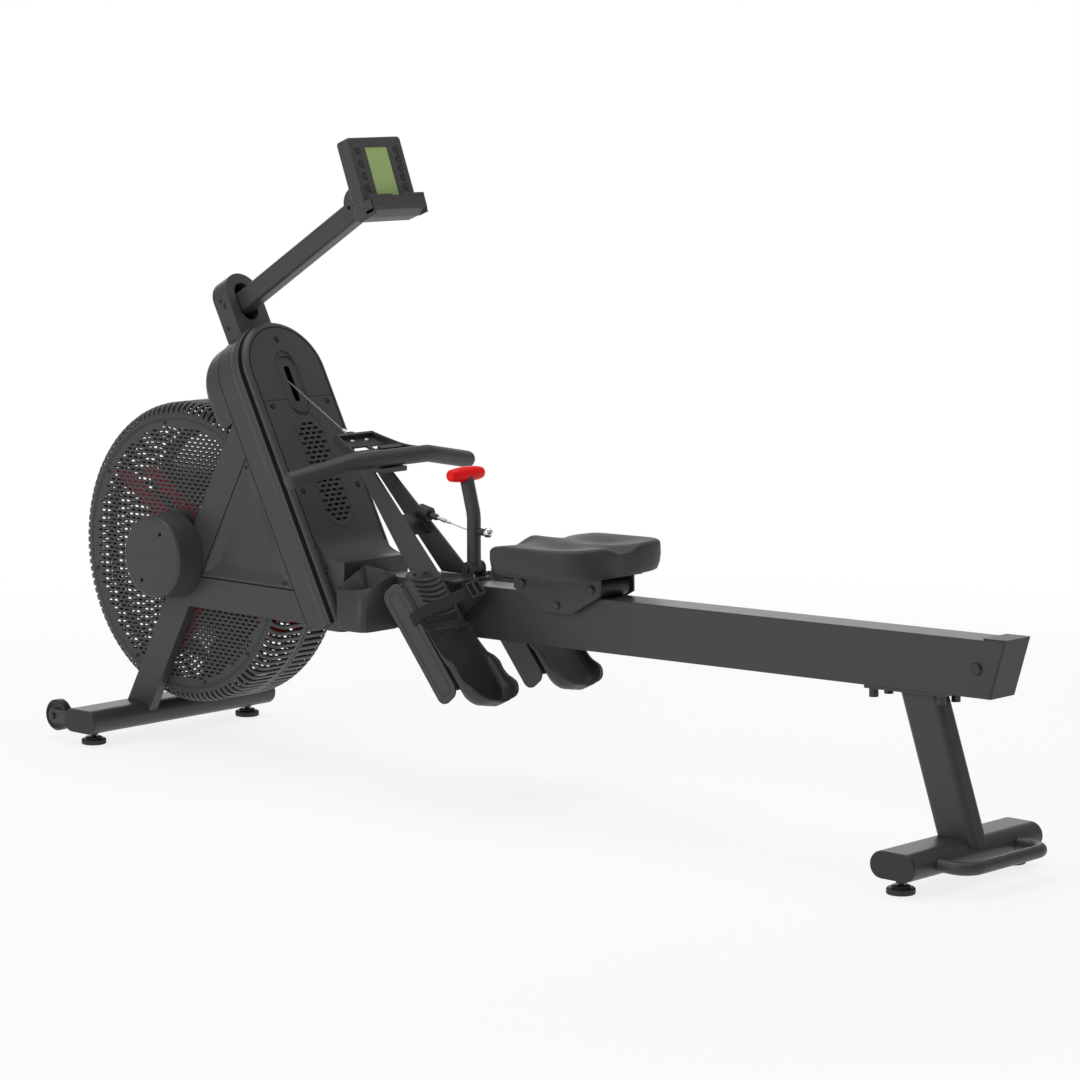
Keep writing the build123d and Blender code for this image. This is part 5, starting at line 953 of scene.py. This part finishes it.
fascia, fascia_cells = pierced_plate(
    "fascia", [rounded(66, 62, 5, (0, 4)),
               [(-31.5, -51.5), (31.5, -51.5), (31.5, 51.5), (-31.5, 51.5)],
               *[[(y + a, u + b) for a, b in disc(5.4, 20)] for y, u in KEYS]], [], 0.5)
add_piece("console_fascia", [(c + 0.25, a, b) for a, b, c in fascia], fascia_cells,
          "shell_plastic", "console", (), CONSOLE)
rings = [ring_form(6.4, 1.5, key, 4.0) for key in KEYS]
add_piece("key_rings", *joined(*rings), "dark_line", "console", (), CONSOLE, slot="black_plastic")
print("console fascia with", len(KEYS), "keys")

# %% Console ledge
lip = [box_form((22.2, s * 34 - 30, -61.5), (24.4, s * 34 + 30, -55.0)) for s in (-1.3, 1.3)]
add_piece("ledge_lips", *joined(*lip), "shell_plastic", "console", (), CONSOLE)
chin = [(-1, -87.5), (-1, -96.3), (2, -96.3), (24.3, -87.0), (24.3, -81.5), (18, -87.5)]
cheeks = [box_form((-1, s * 72.2 - 1.8, -96), (22.5, s * 72.2 + 1.8, -61.2)) for s in (-1, 1)]
add_piece("console_chin", *joined(prism(chin, 73.5), *cheeks), "shell_plastic", "console", (),
          CONSOLE, 30)
# Dark discs of painted shade stand in for the holes in the ledge's knuckle.
holes = [dome(4.4, 0.4, (x, s * 34.0, z), (0, s, 0))
         for s in (-1, 1) for x, z in ((589, 1141), (603, 1147))]
add_piece("knuckle_hole_shade", *joined(*holes), "dark_line", "console", (), slot="black_plastic")
print("ledge with", len(lip), "lips,", len(holes), "holes in its knuckle")

# %% [markdown]
# ## Screws
# Socket screws hold the panel, the side plates, the cage, the hub covers and the mast bracket. They
# are small but many, and they give the eye a scale. One turned head is set at each place.

# %% Screws
def spread(places, radius, height, normal):
    return joined(*[dome(radius, height, place, normal) for place in places])


panel_places = [(0.0, s * 77, u) for s in (-1, 1) for u in (94, -95)] + [(0.0, 0, 239)]
# Dark discs of painted shade mark the wells under the panel screws.
add_piece("panel_well_shade", *spread(panel_places, 6.2, 0.4, (1, 0, 0)), "dark_line", "frame", (), COLUMN,
          slot="black_plastic")
add_piece("panel_screws", *spread(panel_places, 3.6, 1.2, (1, 0, 0)), "black_plastic", "frame", (), COLUMN)
side_places = [(229, -108.7, 377), (470, -108.7, 377), (360, -108.7, 606), (302, -108.0, 697)]
side_screws = both_sides(spread(side_places, 4.6, 2.0, (0, -1, 0)))
add_piece("side_screws", *side_screws, "black_plastic", "frame", ())
cage_places = [(FAN[0] + 275.5 * cos(radians(t)), -85.0, FAN[1] + 275.5 * sin(radians(t)))
               for t in (20, 54, 100, 146, 192, 238, 284, 316, 346)]
cage_screws = both_sides(spread(cage_places, 4.2, 3.0, (0, -1, 0)))
add_piece("cage_screws", *cage_screws, "black_plastic", "frame", ())
hub_places = [(FAN[0] + s * 29.0, -166.5, FAN[1] + s * 50.2) for s in (-1, 1)]
hub_screws = both_sides(spread(hub_places, 4.0, 2.0, (0, -1, 0)))
add_piece("hub_screws", *hub_screws, "black_plastic", "frame", ())
bracket_places = [(n, s * 47.0, u) for s in (-1, 1) for n, u in ((-69.7, 361), (-75.8, 301))]
bracket_screws = joined(*[dome(4.4, 2.6, place, (0, place[1], 0)) for place in bracket_places])
add_piece("bracket_screws", *bracket_screws, "black_plastic", "frame", (), COLUMN)
add_piece("tray_screw", *dome(4.5, 2.0, (677, -38.0, 372), (0, -1, 0)), "black_plastic", "frame", ())
print(len(panel_places), "panel screws,", 2 * len(cage_places), "cage screws")

# %% [markdown]
# ## Seams
# Where two mouldings meet there is a fine dark gap, and the footboards have a raised outline on their
# sides. Real gaps would need the CAD cut again, so the seams are thin beads of painted shade laid in place.

# %% Seams
def strip(points, wide):
    """Thin dark line laid on a face, along points of (n, y, u)."""
    return joined(*[
        box_form(tuple(min(p, q) - wide / 2 for p, q in zip(a, b)),
                 tuple(max(p, q) + wide / 2 for p, q in zip(a, b)))
        for a, b in zip(points, points[1:])
    ])


# The panel's seams are thin lines of painted shade.
seams = [strip([(0, s * 27, 107), (0, s * 97, 107)], 0.7) for s in (-1, 1)]
arch = [(97.5 * cos(pi * k / 48), 170 + 97.5 * sin(pi * k / 48)) for k in range(49)]
edge = [(0.2, y, u) for y, u in [(97.5, -220), *arch, (-97.5, -220)]]
seam_tube = tube(edge, [0.8] * len(edge), 6)
add_piece("panel_seams", *joined(*seams, seam_tube), "dark_line", "frame", (), COLUMN, slot="black_plastic")
emboss = [(a, -183.0, b) for a, b in rounded(119, 15.5, 15, (131, -27.5), 10)]
emboss_form = tube(emboss + emboss[:1], [0.9] * (len(emboss) + 1), 8)
add_piece("board_emboss", *both_sides(emboss_form), "frame_coat", "frame", (), BOARD)
print("panel seam through", len(edge), "points")

# %% [markdown]
# ## Levelling pads
# The four feet end in rubber pads with a toothed edge for the fingers. A toothed outline is lofted
# from the sole to the rounded top, with a turned boss over it.

# %% Levelling pads
def ribbed(radius, low, high, centre, ribs=28):
    """Round pad with a toothed edge, lofted from its sole to its rounded top."""
    steps = ribs * 4
    bumps = [(1.0 if k % 4 < 2 else 0.965, 2 * pi * k / steps) for k in range(steps)]
    rings = [[(centre[0] + radius * share * bump * cos(t), centre[1] + radius * share * bump * sin(t), lift)
              for bump, t in bumps]
             for lift, share in ((low, 0.95), (low + 1.5, 1.0), (high - 2.5, 1.0), (high, 0.88))]
    return drawn(outward(loft(rings)[0]))


boss = [(17.2, 12.0), (17.2, 15.0), (15.0, 16.2)]
pads = [joined(ribbed(26.0, 0.1, 12.2, (x, y)), lathe(boss, (x, y, 0), "Z", 24))
        for x, reach in ((0.0, 220.0), (2090.0, 165.0)) for y in (-reach, reach)]
add_piece("ribbed_pads", *joined(*pads), "black_plastic", "frame", ("leveller_pads",))
print(len(pads), "levelling pads")

# %% [markdown]
# ## Shroud rim and groove
# A rounded rim and a dark groove run up one side of the shroud, over its arch and down the other, and
# a seam parts it from the side frames. All three are small sections lofted along the same arch.

# %% Shroud rim and groove
def arch_path(half, centre, low, steps=40):
    """Points and outward directions (y, u) up one side, over the arch and down the other."""
    turn = [(cos(pi * k / steps), sin(pi * k / steps)) for k in range(steps + 1)]
    ring = [((half * c, centre + half * s), (c, s)) for c, s in turn]
    return [((half, low), (1, 0)), *ring, ((-half, low), (-1, 0))]


def edging(profile, path):
    """Band lofted along a path, from (n, outward) points of its section."""
    rings = [[(n, y + oy * out, u + ou * out) for n, out in profile] for (y, u), (oy, ou) in path]
    return drawn(outward(loft(rings, closed=False)[0]))


SHROUD = arch_path(112, 170, -374)
rim = [(-46, -0.5), (-43, 1.6), (-38, 3.0), (-31, 3.4), (-26, 2.6), (-22, 1.0), (-20.5, -0.5)]
add_piece("shroud_rim", *edging(rim, SHROUD), "shell_plastic", "frame", (), COLUMN, 60)
# The groove is a shallow band of painted shade.
groove = [(-20.5, 0.25), (-14, 0.25), (-11, -0.2), (-9, -0.7)]
add_piece("shroud_groove", *edging(groove, SHROUD), "dark_line", "frame", (), COLUMN, slot="black_plastic")
# The seam is a narrow step in painted shade.
step_line = [(-91.0, -3.7), (-88.3, -3.5), (-88.3, 0.3), (-87.2, 0.3)]
add_piece("shroud_seam", *edging(step_line, arch_path(112, 170, -350)), "dark_line", "frame", (), COLUMN,
          slot="black_plastic")
print("shroud arch through", len(SHROUD), "points")

# %% [markdown]
# ## Side plates
# Each side frame is an A, and its window is closed by a dished plastic plate. Triangles inset by
# measured steps and set at their depths give the rim, the slope and the floor of the dish.

# %% Side plates
WINDOW = [(216.1, 365.3), (361.7, 630.1), (502.5, 365.3)]
WINDOW_MIDDLE, WINDOW_REACH = (360.4, 450.7), 85.36


def inset(by, y):
    """Window corners moved in by a distance, at a depth y."""
    k = 1 - by / WINDOW_REACH
    return [(WINDOW_MIDDLE[0] + (x - WINDOW_MIDDLE[0]) * k, y,
             WINDOW_MIDDLE[1] + (z - WINDOW_MIDDLE[1]) * k) for x, z in WINDOW]


def stepped(rings, last=True):
    """Bands between rings of three corners, with the last ring filled, facing the near side."""
    form, _ = loft(rings, first=False, last=last)
    outward(form)
    if sum(face.normal.y * face.calc_area() for face in form.faces) > 0:
        bmesh.ops.reverse_faces(form, faces=form.faces)
    return drawn(form)


dish = [inset(by, y) for by, y in ((1.6, -105.2), (1.6, -108.3), (2.4, -108.9), (7.5, -108.9),
                                   (9.5, -108.2), (29, -103.4), (31, -103.0))]
add_piece("side_plates", *both_sides(stepped(dish)), "shell_plastic", "frame", ["side_panels"], angle=8)
# A thin band of painted shade marks the gap round each plate.
gap = [inset(-1.0, -108.25), inset(1.5, -108.25)]
add_piece("plate_gap", *both_sides(stepped(gap, last=False)), "dark_line", "frame", (),
          slot="black_plastic")
print("side plates of", len(dish), "steps")

# %% [markdown]
# ## Vent and slot
# The panel's vent is wider than the cut in the CAD, so its outer bricks are shallow inlays of painted
# shade that stand in for holes. Thin beads frame the vent and the cable slot.

# %% Vent and slot
# Outer vent bricks: dark inlays of painted shade where the CAD has no holes.
vent_bricks = []
for row in range(2, 20, 2):
    u = -168 + (row + 0.5) * 10.6
    vent_bricks += [box_form((-0.2, s * 27 - 6.5, u - 2.6), (0.3, s * 27 + 6.5, u + 2.6)) for s in (-1, 1)]
add_piece("vent_outer_row", *joined(*vent_bricks), "dark_line", "frame", (), COLUMN, slot="black_plastic")


def stadium(half, low, high, steps=12):
    """Closed outline (y, u) with round ends."""
    turns = [pi * k / steps for k in range(steps + 1)]
    top = [(half * cos(t), high - half + half * sin(t)) for t in turns]
    bottom = [(-half * cos(t), low + half - half * sin(t)) for t in turns]
    return top + bottom


for name, half, low, high, thick in (("vent_border", 37, -181, 74, 0.7),
                                     ("slot_bezel", 29, 76, 203, 1.5)):
    loop = [(0.1, y, u) for y, u in stadium(half, low, high)]
    bead = tube([*loop, loop[0]], [thick] * (len(loop) + 1), 6)
    add_piece(name, *bead, "shell_plastic", "frame", (), COLUMN)
print(len(vent_bricks), "outer vent bricks")

# %% [markdown]
# ## Column foot
# The rear panel sweeps out into a lip above the rail. Its section is an arc with a few corners, so it
# is filled and extruded across the column.

# %% Scoop
SCOOP_RADIUS, SCOOP_TURN, SCOOP_TOP = 84.4, 68.6, -195.0
sweep = [(SCOOP_RADIUS * (1 - cos(radians(SCOOP_TURN * k / 16))) + 0.4,
          SCOOP_TOP - SCOOP_RADIUS * sin(radians(SCOOP_TURN * k / 16))) for k in range(17)]
section = [(-2.0, SCOOP_TOP), *sweep, (52.0, -277.5), (-11.0, -384.0), (-14.0, -380.0)]
add_piece("panel_scoop", *prism(section, 91.0), "shell_plastic", "frame", (), COLUMN, 30)
scoop_places = [(5.2, s * 91.0, -262) for s in (-1, 1)]
scoop_screws = joined(*[dome(6.0, 1.2, place, (0, place[1], 0)) for place in scoop_places])
add_piece("scoop_screws", *scoop_screws, "black_plastic", "frame", (), COLUMN)
print("scoop section of", len(section), "points")

# %% [markdown]
# ## Tray
# A tapered bottle tray hangs beside the column's foot, with a rim that slopes down from the column.
# The measured rim is extruded down to the tray's floor and given a wall.

# %% Tray
TRAY_RIM = [(634.5, -40.5, 424), (634.5, -66, 411), (634.5, -94, 396), (635, -110, 388.5),
            (637, -118, 386.5), (643, -124, 385.5), (652, -126, 385.5), (680, -126, 387.5),
            (698, -126, 389.5), (708, -124, 390.5), (714.5, -118, 391.5), (717, -108, 393),
            (717, -40.5, 414), (680, -40.5, 420)]
TRAY_WALL, TRAY_FLOOR = 3.0, 303.5
tray_sole = [(x, y, TRAY_FLOOR + TRAY_WALL) for x, y, z in TRAY_RIM]
form, _ = loft([TRAY_RIM, tray_sole], first=False)
verts, faces = drawn(outward(form))
tray = add_piece("tray_shell", verts, faces, "shell_plastic", "frame", ("bottle_tray",), angle=30)
thicken(tray, TRAY_WALL, inward=False)
print("tray", round(TRAY_RIM[0][2] - TRAY_FLOOR), "mm deep at the column")

# %% [markdown]
# ## Floor
# The machine stands on a white floor that keeps its shadow. A plain white plane would end in a grey
# horizon, so its colour fades into the backdrop's white away from the feet.

# %% Floor
floor_mesh = bpy.data.meshes.new("floor")
form = bmesh.new()
bmesh.ops.create_grid(form, x_segments=1, y_segments=1, size=40, matrix=Matrix.Translation((0, 0, -0.0005)))
form.to_mesh(floor_mesh)
form.free()
floor = bpy.data.objects.new("floor", floor_mesh)
scene.collection.objects.link(floor)
floor_look = finish("floor_white", "#fcfcfc", 0.9)
tree = floor_look.node_tree
place = add_node(tree, "TexCoord").outputs["Object"]
reach = add_node(tree, "VectorMath", {0: place}, operation="LENGTH").outputs["Value"]
fade = add_node(tree, "MapRange", {"Value": reach, "From Min": 1.5, "From Max": 3.2, "To Min": 0.82},
            interpolation_type="SMOOTHSTEP")
glow = add_node(tree, "Emission", {"Color": WHITE, "Strength": 1.0})
paint = tree.nodes["Principled BSDF"].outputs[0]
mix = add_node(tree, "MixShader", {0: fade.outputs[0], 1: paint, 2: glow.outputs[0]})
tree.links.new(mix.outputs[0], tree.nodes["Material Output"].inputs["Surface"])
floor_mesh.materials.append(floor_look)
print("floor", floor.dimensions.x, "m wide")
